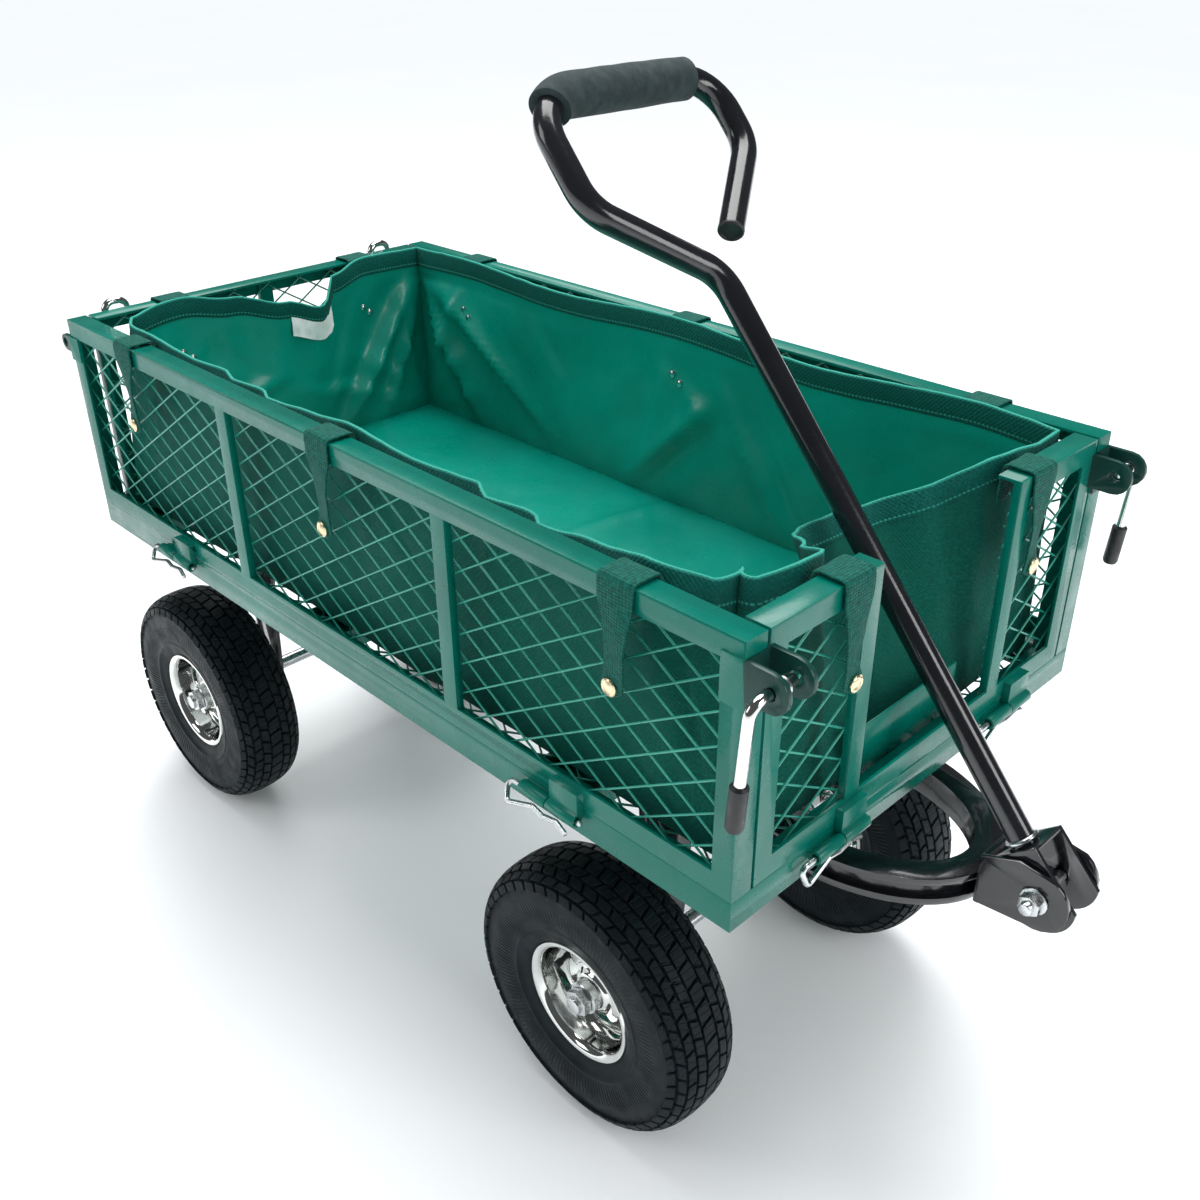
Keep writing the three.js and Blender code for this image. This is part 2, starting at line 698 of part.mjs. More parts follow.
function ringSlab(inset, low, high) {
  const depth = high - low;
  const geometry = new THREE.ExtrudeGeometry(ringOutline(inset), { depth, bevelEnabled: false, curveSegments: 18 });
  return toSolid(geometry.translate(0, 0, low));
}

function drawbarRing() {
  const low = ringTop - ringHeight;
  const band = cut(ringSlab(0, low, ringTop), ringSlab(ringWidth, low - 1, ringTop + 1));
  const grooveLow = low + ringGroove;
  const grooveHigh = ringTop - ringGroove;
  const groove = cut(ringSlab(-4, grooveLow, grooveHigh), ringSlab(ringGroove, grooveLow - 1, grooveHigh + 1));
  const open = box(frontAxleX + legBottomWidth, ringNoseX + 20, -150, 150, low, ringTop);
  const behind = box(frontAxleX - 60, frontAxleX - 20, -90, 90, low - 1, ringTop + 1);
  return cut(band, groove.intersect(open), behind);
}

function hitchBracket() {
  const rear = ringNoseX + gap;
  const outline = [
    [rear, hitchZ + 14],
    [rear, hitchZ - 30],
    ...arc(hitchX, hitchZ, bracketNose, -100, 60, 10),
    [hitchX - 16, hitchZ + 26],
  ];
  const hole = { x: hitchX, z: hitchZ, radius: hitchBoltRadius + gap };
  const side = plateY(outline, bracketHalfWidth - plate, bracketHalfWidth, hole);
  const web = box(rear, rear + plate, -bracketHalfWidth, bracketHalfWidth, hitchZ - 30, hitchZ + 14);
  return join(side, mirrorY(side), web);
}

function hitchBolt() {
  const shank = bracketHalfWidth + gap;
  return join(
    rodY(hitchBoltRadius, -shank - 14, shank + 2, hitchX, hitchZ, 12),
    rodY(11, -shank - 1.5, -shank, hitchX, hitchZ, 16),
    rodY(9, -shank - 9, -shank - 1, hitchX, hitchZ, 6),
    rodY(9, shank, shank + 6, hitchX, hitchZ, 6),
  );
}

addPiece("rear_axle_bracket", saddle(rearAxleX, bedBottom - gap), blackPaint);
addPiece("rear_axle", axle(rearAxleX), zinc);
addPiece("king_plate", kingPlate(), blackPaint);
addPiece("kingpin", kingpin(), zinc);
addPiece("steering_bolster", bolster(), blackPaint);
addPiece("front_axle", axle(frontAxleX), zinc);
addPiece("drawbar_ring", drawbarRing(), blackPaint);
addPiece("hitch_bracket", hitchBracket(), blackPaint);
addPiece("hitch_bolt", hitchBolt(), zinc);

// ---- Handle --------------------------------------------------------------------------------------
// A point of the handle's own plane: along the shaft from the hitch bolt, and across to the left.
function onHandle(along, across) {
  const x = hitchX - along * Math.cos(handleLean);
  const z = hitchZ + along * Math.sin(handleLean);
  return new THREE.Vector3(x, across, z);
}

const yokeCrown = yokeNose + 7;
const yokeOuter = bracketHalfWidth - plate - 0.8;
const loopEnd = [shaftLength + 30, 32];

function handleYoke() {
  const width = 19;
  const outline = [[-width, yokeCrown], ...arc(0, 0, yokeNose, 220, 320, 10), [width, yokeCrown]];
  const turn = Math.PI / 2 - handleLean;
  const place = ([u, v]) => [
    hitchX + u * Math.cos(turn) - v * Math.sin(turn),
    hitchZ + u * Math.sin(turn) + v * Math.cos(turn),
  ];
  const hole = { x: hitchX, z: hitchZ, radius: hitchBoltRadius + 0.8 };
  const side = plateY(outline.map(place), yokeOuter - yokePlate, yokeOuter, hole);
  const crown = [[-width, yokeCrown - yokePlate], [width, yokeCrown - yokePlate], [width, yokeCrown], [-width, yokeCrown]];
  return join(side, mirrorY(side), plateY(crown.map(place), -yokeOuter, yokeOuter));
}

function handleTube() {
  const points = [
    onHandle(yokeCrown + gap, 0),
    onHandle(shaftLength, 0),
    onHandle(shaftLength + 72, -loopLeft),
    onHandle(shaftLength + loopDepth, -loopLeft),
    onHandle(shaftLength + loopDepth, loopRight),
    onHandle(shaftLength + 96, loopRight),
    onHandle(...loopEnd),
  ];
  return sweep(roundedPath(points, loopBend), tubeRadius, 44, 8, tubeWall);
}

function foamGrip() {
  const middle = onHandle(shaftLength + loopDepth, (loopRight - loopLeft) / 2);
  const y0 = middle.y - gripHalfLength;
  const y1 = middle.y + gripHalfLength;
  const body = rodY(gripRadius, y0, y1, middle.x, middle.z, 16);
  return cut(body, rodY(tubeRadius + gap + 0.2, y0 - 1, y1 + 1, middle.x, middle.z, 16));
}

function endCap() {
  const end = onHandle(...loopEnd);
  const before = onHandle(shaftLength + 96, loopRight);
  const out = end.clone().sub(before).normalize();
  const path = new THREE.LineCurve3(end.clone().addScaledVector(out, gap), end.clone().addScaledVector(out, capLength));
  return sweep(path, tubeRadius, 1, 12);
}

addPiece("handle_yoke", handleYoke(), blackPaint);
addPiece("handle_tube", handleTube(), blackPaint);
addPiece("foam_grip", foamGrip(), foam);
addPiece("handle_end_cap", endCap(), rubber);

// ---- The part's frame: the origin is the middle of the base of the bounding box --------------------
const bounds = new THREE.Box3().setFromObject(contents);
contents.position.set(-(bounds.min.x + bounds.max.x) / 2, 0, -bounds.min.z);

export default cart;
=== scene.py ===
import math
import random
import bpy
from mathutils import Matrix, Vector, noise


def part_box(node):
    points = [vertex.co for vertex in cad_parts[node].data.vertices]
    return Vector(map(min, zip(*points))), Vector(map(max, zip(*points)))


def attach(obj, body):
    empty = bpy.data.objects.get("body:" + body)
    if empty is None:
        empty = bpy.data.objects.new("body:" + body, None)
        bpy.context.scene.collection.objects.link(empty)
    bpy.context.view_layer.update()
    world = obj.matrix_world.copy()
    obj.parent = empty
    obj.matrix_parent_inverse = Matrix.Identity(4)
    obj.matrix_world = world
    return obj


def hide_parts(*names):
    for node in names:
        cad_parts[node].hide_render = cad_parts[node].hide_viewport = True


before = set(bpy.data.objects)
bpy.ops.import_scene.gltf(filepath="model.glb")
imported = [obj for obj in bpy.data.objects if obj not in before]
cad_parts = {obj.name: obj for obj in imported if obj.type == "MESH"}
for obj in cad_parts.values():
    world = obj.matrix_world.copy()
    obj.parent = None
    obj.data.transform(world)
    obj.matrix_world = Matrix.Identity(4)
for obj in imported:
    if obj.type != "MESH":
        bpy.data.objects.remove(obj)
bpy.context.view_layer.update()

# ---- Sizes, in metres ----------------------------------------------------------------------------
WIRE_RADIUS = 0.00095
WIRE_LEAN = math.radians(32)
WIRE_SPACING = 0.043
HANDLE_LEAN = math.radians(49.2)
HANDLE_RADIUS = 0.0105
HANDLE_BEND = 0.036
HANDLE_ROUTE = [
    (0.0363, 0), (0.511, 0), (0.583, -0.092), (0.671, -0.092),
    (0.671, 0.098), (0.607, 0.098), (0.5425, 0.0335),
]
GRIP_RADIUS = 0.0165
PIN_RADIUS = 0.0024
LATCH_RADIUS = 0.004
COLLAR_RADIUS = 0.007
SLEEVE_RADIUS = 0.0062
HEM_WIDTH = 0.022
WALL_RINGS = 27
HEM_RISE = 0.003  # of the hem above the liner node's top
EAR_DEPTH = 0.06  # of the latch ears below the top rails
SNAP_SHARE = 0.925  # of a strap's length, where its snap sits
CLOTH = 0.0012
STRAP_WIDTH = 0.032
PLACES = ["front_right", "front_left", "rear_right", "rear_left"]
PINS = [
    "right_rear", "right_front", "left_rear", "left_front",
    "front_right", "front_left", "rear_right", "rear_left",
]


def middle(node):
    low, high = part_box(node)
    return (low + high) / 2


# ---- Modelling helpers ---------------------------------------------------------------------------
def drop_selection():
    if bpy.context.object and bpy.context.object.mode != "OBJECT":
        bpy.ops.object.mode_set(mode="OBJECT")
    bpy.ops.object.select_all(action="DESELECT")


def activate(obj):
    drop_selection()
    obj.select_set(True)
    bpy.context.view_layer.objects.active = obj


def edit(obj, kind="FACE"):
    activate(obj)
    bpy.ops.object.mode_set(mode="EDIT")
    bpy.ops.mesh.select_mode(type=kind)
    bpy.ops.mesh.select_all(action="DESELECT")


def pick(obj, test, kind="FACE"):
    """Selects the faces, edges or points that pass the test on their place (and a face's normal)."""
    edit(obj, kind)
    bpy.ops.object.mode_set(mode="OBJECT")
    mesh = obj.data
    if kind == "FACE":
        for face in mesh.polygons:
            face.select = test(face.center, face.normal)
    elif kind == "VERT":
        for point in mesh.vertices:
            point.select = test(point.co)
    else:
        for line in mesh.edges:
            a, b = (mesh.vertices[i].co for i in line.vertices)
            line.select = test(a, b)
    bpy.ops.object.mode_set(mode="EDIT")


def named(name):
    obj = bpy.context.object
    obj.name = name
    obj.data.name = name
    return obj


def apply_all(obj):
    activate(obj)
    for modifier in list(obj.modifiers):
        bpy.ops.object.modifier_apply(modifier=modifier.name)


def settle(obj):
    """Puts a piece's place into its mesh and leaves its object at the origin."""
    activate(obj)
    bpy.ops.object.transform_apply(location=True, rotation=True, scale=True)


def smooth(obj, angle=35):
    activate(obj)
    bpy.ops.object.shade_smooth_by_angle(angle=math.radians(angle))


def face_out(obj, merge=0.00002):
    edit(obj)
    bpy.ops.mesh.select_all(action="SELECT")
    bpy.ops.mesh.remove_doubles(threshold=merge)
    bpy.ops.mesh.normals_make_consistent(inside=False)
    bpy.ops.object.mode_set(mode="OBJECT")


def join(name, objs):
    activate(objs[0])
    for obj in objs:
        obj.select_set(True)
    bpy.ops.object.join()
    return named(name)


def finish_piece(obj, body, material, replaces=(), angle=35):
    settle(obj)
    if material:
        obj.data.materials.clear()
        obj.data.materials.append(material)
    smooth(obj, angle)
    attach(obj, body)
    if replaces:
        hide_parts(*replaces)
    drop_selection()
    return obj


def copied(obj, name, turn=None):
    twin = obj.copy()
    twin.data = obj.data.copy()
    twin.name = name
    twin.data.name = name
    bpy.context.scene.collection.objects.link(twin)
    if turn is not None:
        twin.data.transform(turn)
        if turn.determinant() < 0:
            twin.data.flip_normals()
    return twin


def thicken(obj, thickness, inner_slot=0):
    """Gives a surface its wall, half of it on each side."""
    wall = obj.modifiers.new("wall", "SOLIDIFY")
    wall.thickness = thickness
    wall.offset = 0
    wall.material_offset = inner_slot
    wall.material_offset_rim = inner_slot


def break_edges(obj, width, angle, segments=2):
    """Rounds the edges that turn by more than an angle, given in degrees."""
    bevel = obj.modifiers.new("edges", "BEVEL")
    bevel.width = width
    bevel.segments = segments
    bevel.limit_method = "ANGLE"
    bevel.angle_limit = math.radians(angle)
    return bevel


def drawn(name, spots):
    """Draws a line of edges through some places by extruding one point, and leaves it selected."""
    drop_selection()
    bpy.ops.mesh.primitive_plane_add(size=0.0001, location=spots[0])
    line = named(name)
    settle(line)
    bpy.ops.object.mode_set(mode="EDIT")
    bpy.ops.mesh.select_mode(type="VERT")
    bpy.ops.mesh.select_all(action="SELECT")
    bpy.ops.mesh.merge(type="CENTER")
    for a, b in zip(spots, spots[1:]):
        bpy.ops.mesh.extrude_region_move(TRANSFORM_OT_translate={"value": b - a})
    bpy.ops.mesh.select_all(action="SELECT")
    return line


def facing_along(way):
    """Turns a piece drawn along Y so that it points along a direction."""
    return way.to_track_quat("Y", "Z").to_matrix().to_4x4()


def bent_rod(name, points, radius, bend, sides=16, steps=7):
    """A round bar along straight runs, with a bend of the given middle radius at each corner."""
    points = [Vector(p) for p in points]
    runs = [b - a for a, b in zip(points, points[1:])]
    drop_selection()
    facing = runs[0].to_track_quat("Z", "Y").to_euler()
    bpy.ops.mesh.primitive_circle_add(vertices=sides, radius=radius, location=points[0], rotation=facing)
    rod = named(name)
    settle(rod)
    bpy.ops.object.mode_set(mode="EDIT")
    bpy.ops.mesh.select_mode(type="EDGE")
    bpy.ops.mesh.select_all(action="SELECT")
    used = 0.0
    for i, run in enumerate(runs):
        ahead = run.normalized()
        last = i == len(runs) - 1
        turn = 0.0 if last else run.angle(runs[i + 1])
        setback = bend * math.tan(turn / 2)
        length = run.length - used - setback
        bpy.ops.mesh.extrude_region_move(TRANSFORM_OT_translate={"value": ahead * length})
        if turn > 0.001:
            axis = ahead.cross(runs[i + 1]).normalized()
            centre = points[i + 1] - ahead * setback + axis.cross(ahead) * bend
            bpy.ops.mesh.spin(steps=steps, angle=turn, center=centre, axis=-axis)
        used = setback
    bpy.ops.mesh.select_all(action="SELECT")
    bpy.ops.mesh.fill_holes(sides=0)
    bpy.ops.object.mode_set(mode="OBJECT")
    face_out(rod)
    return rod


def round_ends(rod, sides, amount):
    pick(rod, lambda c, n: False)
    bpy.ops.object.mode_set(mode="OBJECT")
    for face in rod.data.polygons:
        face.select = len(face.vertices) == sides
    bpy.ops.object.mode_set(mode="EDIT")
    bpy.ops.mesh.inset(thickness=amount, depth=amount * 0.7)
    bpy.ops.object.mode_set(mode="OBJECT")


def turned(name, profile, centre=(0, 0, 0), steps=48):
    """Draws a profile of (radius, along) points, then spins it about Y."""
    piece = drawn(name, [Vector((r, a, 0)) for r, a in profile])
    bpy.ops.mesh.spin(steps=steps, angle=math.tau, center=(0, 0, 0), axis=(0, 1, 0))
    face_out(piece)
    piece.location = centre
    settle(piece)
    return piece


# ---- Finishes ------------------------------------------------------------------------------------
class Finish:
    """A node material, with short calls for the nodes that the finishes share."""

    def __init__(self, name, colour, roughness, metallic=0.0, **more):
        self.material = bpy.data.materials.new(name)
        self.material.use_nodes = True
        self.tree = self.material.node_tree
        self.shader = self.tree.nodes["Principled BSDF"]
        self.shader.inputs["Base Color"].default_value = (*colour, 1)
        self.shader.inputs["Roughness"].default_value = roughness
        self.shader.inputs["Metallic"].default_value = metallic
        for key, value in more.items():
            self.shader.inputs[key.replace("_", " ")].default_value = value
        self.place = self.tree.nodes.new("ShaderNodeTexCoord").outputs["Object"]

    def node(self, kind, **settings):
        made = self.tree.nodes.new(kind)
        for key, value in settings.items():
            setattr(made, key, value)
        return made

    def join(self, start, end):
        self.tree.links.new(start, end)

    def cloth_place(self):
        return self.node("ShaderNodeUVMap", uv_map="cloth").outputs["UV"]

    def grain(self, scale, detail=4.0, rough=0.55, place=None):
        made = self.node("ShaderNodeTexNoise")
        made.inputs["Scale"].default_value = scale
        made.inputs["Detail"].default_value = detail
        made.inputs["Roughness"].default_value = rough
        self.join(place or self.place, made.inputs["Vector"])
        return made.outputs["Fac"]

    def maths(self, operation, a, b=0.5, c=0.5):
        made = self.node("ShaderNodeMath", operation=operation)
        for socket, value in zip(made.inputs, (a, b, c)):
            if isinstance(value, (int, float)):
                socket.default_value = value
            else:
                self.join(value, socket)
        return made.outputs[0]

    def fade(self, value, low, high, start=0.0, end=1.0):
        made = self.node("ShaderNodeMapRange")
        self.join(value, made.inputs["Value"])
        for key, number in zip(("From Min", "From Max", "To Min", "To Max"), (low, high, start, end)):
            made.inputs[key].default_value = number
        return made.outputs["Result"]

    def blend(self, amount, first, second):
        made = self.node("ShaderNodeMix", data_type="RGBA")
        self.join(amount, made.inputs[0])
        for socket, colour in zip((made.inputs[6], made.inputs[7]), (first, second)):
            if isinstance(colour, tuple):
                socket.default_value = (*colour, 1)
            else:
                self.join(colour, socket)
        return made.outputs[2]

    def colour(self, value):
        self.join(value, self.shader.inputs["Base Color"])

    def roughness(self, value):
        self.join(value, self.shader.inputs["Roughness"])

    def relief(self, height, depth, strength=1.0):
        made = self.node("ShaderNodeBump")
        made.inputs["Strength"].default_value = strength
        made.inputs["Distance"].default_value = depth
        self.join(height, made.inputs["Height"])
        last = self.shader.inputs["Normal"]
        if last.is_linked:
            self.join(last.links[0].from_socket, made.inputs["Normal"])
        self.join(made.outputs["Normal"], last)

    def axis(self, which, place=None):
        made = self.node("ShaderNodeSeparateXYZ")
        self.join(place or self.place, made.inputs[0])
        return made.outputs[which]


def powder_coat(name, base, light, roughness, coat=0.12, shine=0.25):
    f = Finish(name, base, roughness, Coat_Weight=coat, Coat_Roughness=0.12, Specular_IOR_Level=shine)
    cloud = f.fade(f.grain(7.0, 3), 0.35, 0.7)
    speck = f.fade(f.grain(420.0, 2), 0.60, 0.72, 0.0, 0.5)
    f.colour(f.blend(speck, f.blend(cloud, base, light), light))
    f.roughness(f.fade(f.grain(38.0, 5), 0.3, 0.75, roughness - 0.07, roughness + 0.12))
    f.relief(f.grain(330.0, 3), 0.0004, 0.30)
    f.relief(f.grain(24.0, 2), 0.0012, 0.12)
    return f.material


def plated(name, base, dark, roughness, scratch=0.25):
    f = Finish(name, base, roughness, 1.0)
    cloud = f.fade(f.grain(60.0, 4), 0.35, 0.75)
    f.colour(f.blend(cloud, base, dark))
    f.roughness(f.fade(f.grain(170.0, 6), 0.3, 0.8, roughness * 0.7, roughness * 1.8))
    f.relief(f.grain(900.0, 3), 0.0002, scratch)
    return f.material


def tyre_rubber():
    base, worn = (0.004, 0.008, 0.010), (0.010, 0.018, 0.021)
    f = Finish("tyre_rubber", base, 0.5, Specular_IOR_Level=0.14)
    place = f.cloth_place()
    around, across = f.axis(0, place), f.axis(1, place)
    dust = f.fade(f.grain(30.0, 6, 0.7), 0.42, 0.75)
    f.colour(f.blend(dust, base, worn))
    f.roughness(f.fade(f.grain(55.0, 5), 0.3, 0.75, 0.36, 0.64))
    ribs = f.maths("SINE", f.maths("MULTIPLY", around, 900.0))
    band = f.maths("MULTIPLY", f.fade(across, 0.079, 0.083), f.fade(across, 0.099, 0.095))
    f.relief(f.maths("MULTIPLY", ribs, band), 0.0006, 0.7)
    zigzag = f.maths("PINGPONG", f.maths("MULTIPLY", across, 260.0), 1.0)
    sipe = f.maths("PINGPONG", f.maths("MULTIPLY_ADD", around, 130.0, zigzag), 0.5)
    tread = f.fade(across, 0.106, 0.110)
    f.relief(f.maths("MULTIPLY", f.fade(sipe, 0.0, 0.09), tread), 0.0009, 0.8)
    f.relief(f.grain(380.0, 4), 0.0005, 0.35)
    return f.material


def grip_foam():
    base, light = (0.018, 0.030, 0.032), (0.034, 0.052, 0.053)
    f = Finish("grip_foam", base, 0.82, Sheen_Weight=0.06, Sheen_Roughness=0.5, Specular_IOR_Level=0.2)
    f.colour(f.blend(f.fade(f.grain(90.0, 5), 0.4, 0.7), base, light))
    f.roughness(f.fade(f.grain(200.0, 4), 0.3, 0.7, 0.7, 0.92))
    cells = f.node("ShaderNodeTexVoronoi")
    cells.inputs["Scale"].default_value = 1500.0
    f.join(f.place, cells.inputs["Vector"])
    f.relief(cells.outputs["Distance"], 0.0004, 0.6)
    f.relief(f.grain(60.0, 3), 0.0008, 0.25)
    return f.material


def moulded_plastic(name, base):
    f = Finish(name, base, 0.45)
    lighter = tuple(min(1.0, c * 2.2 + 0.01) for c in base)
    f.colour(f.blend(f.fade(f.grain(120.0, 5), 0.45, 0.8), base, lighter))
    f.roughness(f.fade(f.grain(90.0, 4), 0.3, 0.7, 0.36, 0.58))
    f.relief(f.grain(700.0, 3), 0.0003, 0.35)
    return f.material


def weave(f, place, pitch, depth, strength):
    """Warp and weft threads crossing over and under each other."""
    count = math.pi / pitch
    warp = f.maths("SINE", f.maths("MULTIPLY", f.axis(0, place), count))
    weft = f.maths("SINE", f.maths("MULTIPLY", f.axis(1, place), count))
    f.relief(f.maths("MULTIPLY", warp, weft), depth, strength)


def coated_cloth():
    """The liner's smooth waterproof inside."""
    base, light = (0.0, 0.205, 0.148), (0.0, 0.290, 0.215)
    gloss = {"Coat_Weight": 0.3, "Coat_Roughness": 0.16, "Specular_IOR_Level": 0.4}
    f = Finish("liner_coated_inside", base, 0.33, **gloss)
    place = f.cloth_place()
    f.colour(f.blend(f.fade(f.grain(5.0, 5), 0.38, 0.72), base, light))
    f.roughness(f.fade(f.grain(22.0, 6), 0.3, 0.75, 0.24, 0.42))
    weave(f, place, 0.0011, 0.0002, 0.18)
    f.relief(f.grain(26.0, 6, 0.6), 0.004, 0.30)
    f.relief(f.grain(140.0, 4), 0.0006, 0.20)
    return f.material


def woven_cloth(name, base, light, pitch=0.0014, strength=0.45):
    """A matte woven cloth, such as the liner's outside and hem."""
    f = Finish(name, base, 0.72, Sheen_Weight=0.03, Sheen_Roughness=0.45, Specular_IOR_Level=0.12)
    place = f.cloth_place()
    slub = f.fade(f.grain(420.0, 3, 0.5, place), 0.4, 0.7)
    cloud = f.fade(f.grain(9.0, 4), 0.35, 0.7)
    f.colour(f.blend(f.maths("MULTIPLY", slub, cloud), base, light))
    f.roughness(f.fade(f.grain(60.0, 4), 0.3, 0.7, 0.62, 0.82))
    weave(f, place, pitch, 0.0005, strength)
    f.relief(f.grain(40.0, 5), 0.002, 0.25)
    return f


def hem_cloth():
    base, light, thread_and_edge_highlight = (0.0, 0.075, 0.060), (0.004, 0.140, 0.112), (0.03, 0.28, 0.22)
    f = woven_cloth("liner_hem_twill", base, light, 0.0020, 0.6)
    place = f.cloth_place()
    along, down = f.axis(0, place), f.axis(1, place)
    dash = f.fade(f.maths("PINGPONG", f.maths("MULTIPLY", along, 250.0), 0.5), 0.12, 0.2)
    row = f.fade(f.maths("ABSOLUTE", f.maths("SUBTRACT", down, HEM_WIDTH - 0.0035)), 0.0011, 0.0005)
    stitch = f.maths("MULTIPLY", dash, row)
    # A painted highlight along the hem's folded top edge, in the same light colour as the stitching thread.
    edge = f.fade(down, 0.0022, 0.0006)
    before = f.shader.inputs["Base Color"].links[0].from_socket
    f.colour(f.blend(f.maths("MAXIMUM", stitch, edge), before, thread_and_edge_highlight))
    f.relief(stitch, 0.0008, 0.7)
    return f.material


def strap_webbing():
    base, light = (0.0, 0.060, 0.045), (0.003, 0.120, 0.092)
    f = Finish("strap_webbing", base, 0.7, Sheen_Weight=0.05, Sheen_Roughness=0.4, Specular_IOR_Level=0.15)
    place = f.cloth_place()
    rib = f.maths("SINE", f.maths("MULTIPLY", f.axis(1, place), 2600.0))
    cord = f.maths("SINE", f.maths("MULTIPLY", f.axis(0, place), 2100.0))
    f.colour(f.blend(f.fade(f.grain(260.0, 4, 0.6, place), 0.35, 0.7), base, light))
    f.roughness(f.fade(f.grain(80.0, 4), 0.3, 0.7, 0.6, 0.85))
    f.relief(f.maths("ADD", rib, f.maths("MULTIPLY", cord, 0.6)), 0.0005, 0.55)
    return f.material


def tag_cloth():
    base, shade = (0.78, 0.80, 0.78), (0.52, 0.57, 0.55)
    f = Finish("blank_tag_satin", base, 0.5)
    f.colour(f.blend(f.fade(f.grain(70.0, 5), 0.45, 0.8), base, shade))
    f.roughness(f.fade(f.grain(90.0, 4), 0.3, 0.7, 0.4, 0.6))
    weave(f, f.cloth_place(), 0.0009, 0.0002, 0.4)
    return f.material


def floor_paint():
    base, shade = (0.94, 0.95, 0.955), (0.92, 0.935, 0.945)
    f = Finish("floor_paint", base, 0.6, Specular_IOR_Level=0.0)
    f.colour(f.blend(f.fade(f.grain(1.3, 3), 0.3, 0.7), base, shade))
    return f.material


GREEN = powder_coat("green_powder_coat", (0.0, 0.116, 0.084), (0.0, 0.158, 0.118), 0.27)
# A darker copy of the frame green for the latch ears: painted shade, not a different paint.
SHADED_EAR_GREEN = powder_coat("shaded_latch_ears_green", (0.003, 0.030, 0.024), (0.006, 0.050, 0.040), 0.34)
BLACK = powder_coat("black_enamel", (0.004, 0.0045, 0.006), (0.009, 0.010, 0.013), 0.16, 0.7, 0.5)
WIRE_GREEN = powder_coat("green_coated_wire", (0.004, 0.190, 0.140), (0.050, 0.340, 0.260), 0.26, 0.4)
ZINC = plated("zinc_steel", (0.72, 0.74, 0.74), (0.50, 0.53, 0.54), 0.24)
CHROME = plated("bright_chrome", (0.80, 0.81, 0.79), (0.66, 0.68, 0.66), 0.075, 0.06)
BRASS = plated("pale_brass", (0.86, 0.76, 0.52), (0.62, 0.50, 0.30), 0.2)
RUBBER = tyre_rubber()
FOAM = grip_foam()
PLUG = moulded_plastic("end_plug_plastic", (0.012, 0.013, 0.014))
SLEEVE = moulded_plastic("latch_sleeve_rubber", (0.008, 0.009, 0.010))
INSIDE = coated_cloth()
OUTSIDE = woven_cloth("liner_woven_outside", (0.0, 0.078, 0.056), (0.003, 0.132, 0.100)).material
HEM = hem_cloth()
WEBBING = strap_webbing()
TAG = tag_cloth()


# ---- Camera, floor and light ---------------------------------------------------------------------
def camera():
    data = bpy.data.cameras.new("camera")
    data.sensor_width = 36
    data.lens = 37.65
    obj = bpy.data.objects.new("camera", data)
    bpy.context.scene.collection.objects.link(obj)
    azimuth, rise, roll = math.radians(45.61), math.radians(29.54), math.radians(-0.42)
    back = Vector((math.sin(azimuth) * math.cos(rise), -math.cos(azimuth) * math.cos(rise), math.sin(rise)))
    right = (-back).cross(Vector((0, 0, 1))).normalized()
    up = back.cross(right)
    across = right * math.cos(roll) + up * math.sin(roll)
    upright = up * math.cos(roll) - right * math.sin(roll)
    turn = Matrix((across, upright, back)).transposed().to_4x4()
    obj.matrix_world = Matrix.Translation((0.7979, -0.7225, 0.9685)) @ turn
    bpy.context.scene.camera = obj


def floor():
    drop_selection()
    bpy.ops.mesh.primitive_plane_add(size=80, location=(0, 0, -0.0004))
    obj = named("studio_floor")
    bpy.ops.object.mode_set(mode="EDIT")
    bpy.ops.mesh.subdivide(number_cuts=3)
    settle(obj)
    obj.data.materials.append(floor_paint())


def light(name, place, aim, size, power, colour=(1, 1, 1)):
    data = bpy.data.lights.new(name, "AREA")
    data.shape = "RECTANGLE"
    data.size, data.size_y = size
    data.energy = power
    data.color = colour
    obj = bpy.data.objects.new(name, data)
    bpy.context.scene.collection.objects.link(obj)
    facing = (Vector(aim) - Vector(place)).to_track_quat("-Z", "Y").to_matrix().to_4x4()
    obj.matrix_world = Matrix.Translation(place) @ facing


def studio():
    world = bpy.data.worlds.new("studio")
    bpy.context.scene.world = world
    world.use_nodes = True
    tree = world.node_tree
    sky = tree.nodes["Background"]
    sky.inputs["Color"].default_value = (0.95, 0.98, 1.0, 1)
    rays = tree.nodes.new("ShaderNodeLightPath")
    dim = tree.nodes.new("ShaderNodeMapRange")
    dim.inputs["To Min"].default_value = 0.82
    dim.inputs["To Max"].default_value = 0.09
    tree.links.new(rays.outputs["Is Glossy Ray"], dim.inputs["Value"])
    tree.links.new(dim.outputs["Result"], sky.inputs["Strength"])
    light("overhead_softbox", (-0.4, 0.4, 3.0), (0, 0, 0.3), (2.4, 1.8), 74)
    light("left_softbox", (-1.6, -2.4, 1.9), (0, 0, 0.35), (1.2, 1.4), 15)
    light("right_softbox", (2.7, 0.5, 1.5), (0.1, 0, 0.35), (1.0, 1.4), 20)
    sun = bpy.data.lights.new("window_light", "SUN")
    sun.energy = 0.95
    sun.angle = math.radians(28)
    window = bpy.data.objects.new("window_light", sun)
    bpy.context.scene.collection.objects.link(window)
    window.rotation_euler = (math.radians(-28), math.radians(-34), 0)
    bpy.context.scene.view_settings.view_transform = "Standard"


# ---- Frames kept from the CAD --------------------------------------------------------------------
def rounded_edges(node, width, material, angle=40):
    """A pressed or folded metal node keeps its shape; its edges are broken as bending leaves them."""
    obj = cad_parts[node]
    obj.data.materials.clear()
    obj.data.materials.append(material)
    weld = obj.modifiers.new("weld", "WELD")
    weld.merge_threshold = 0.00002
    break_edges(obj, width, angle).harden_normals = True
    for face in obj.data.polygons:
        face.use_smooth = True


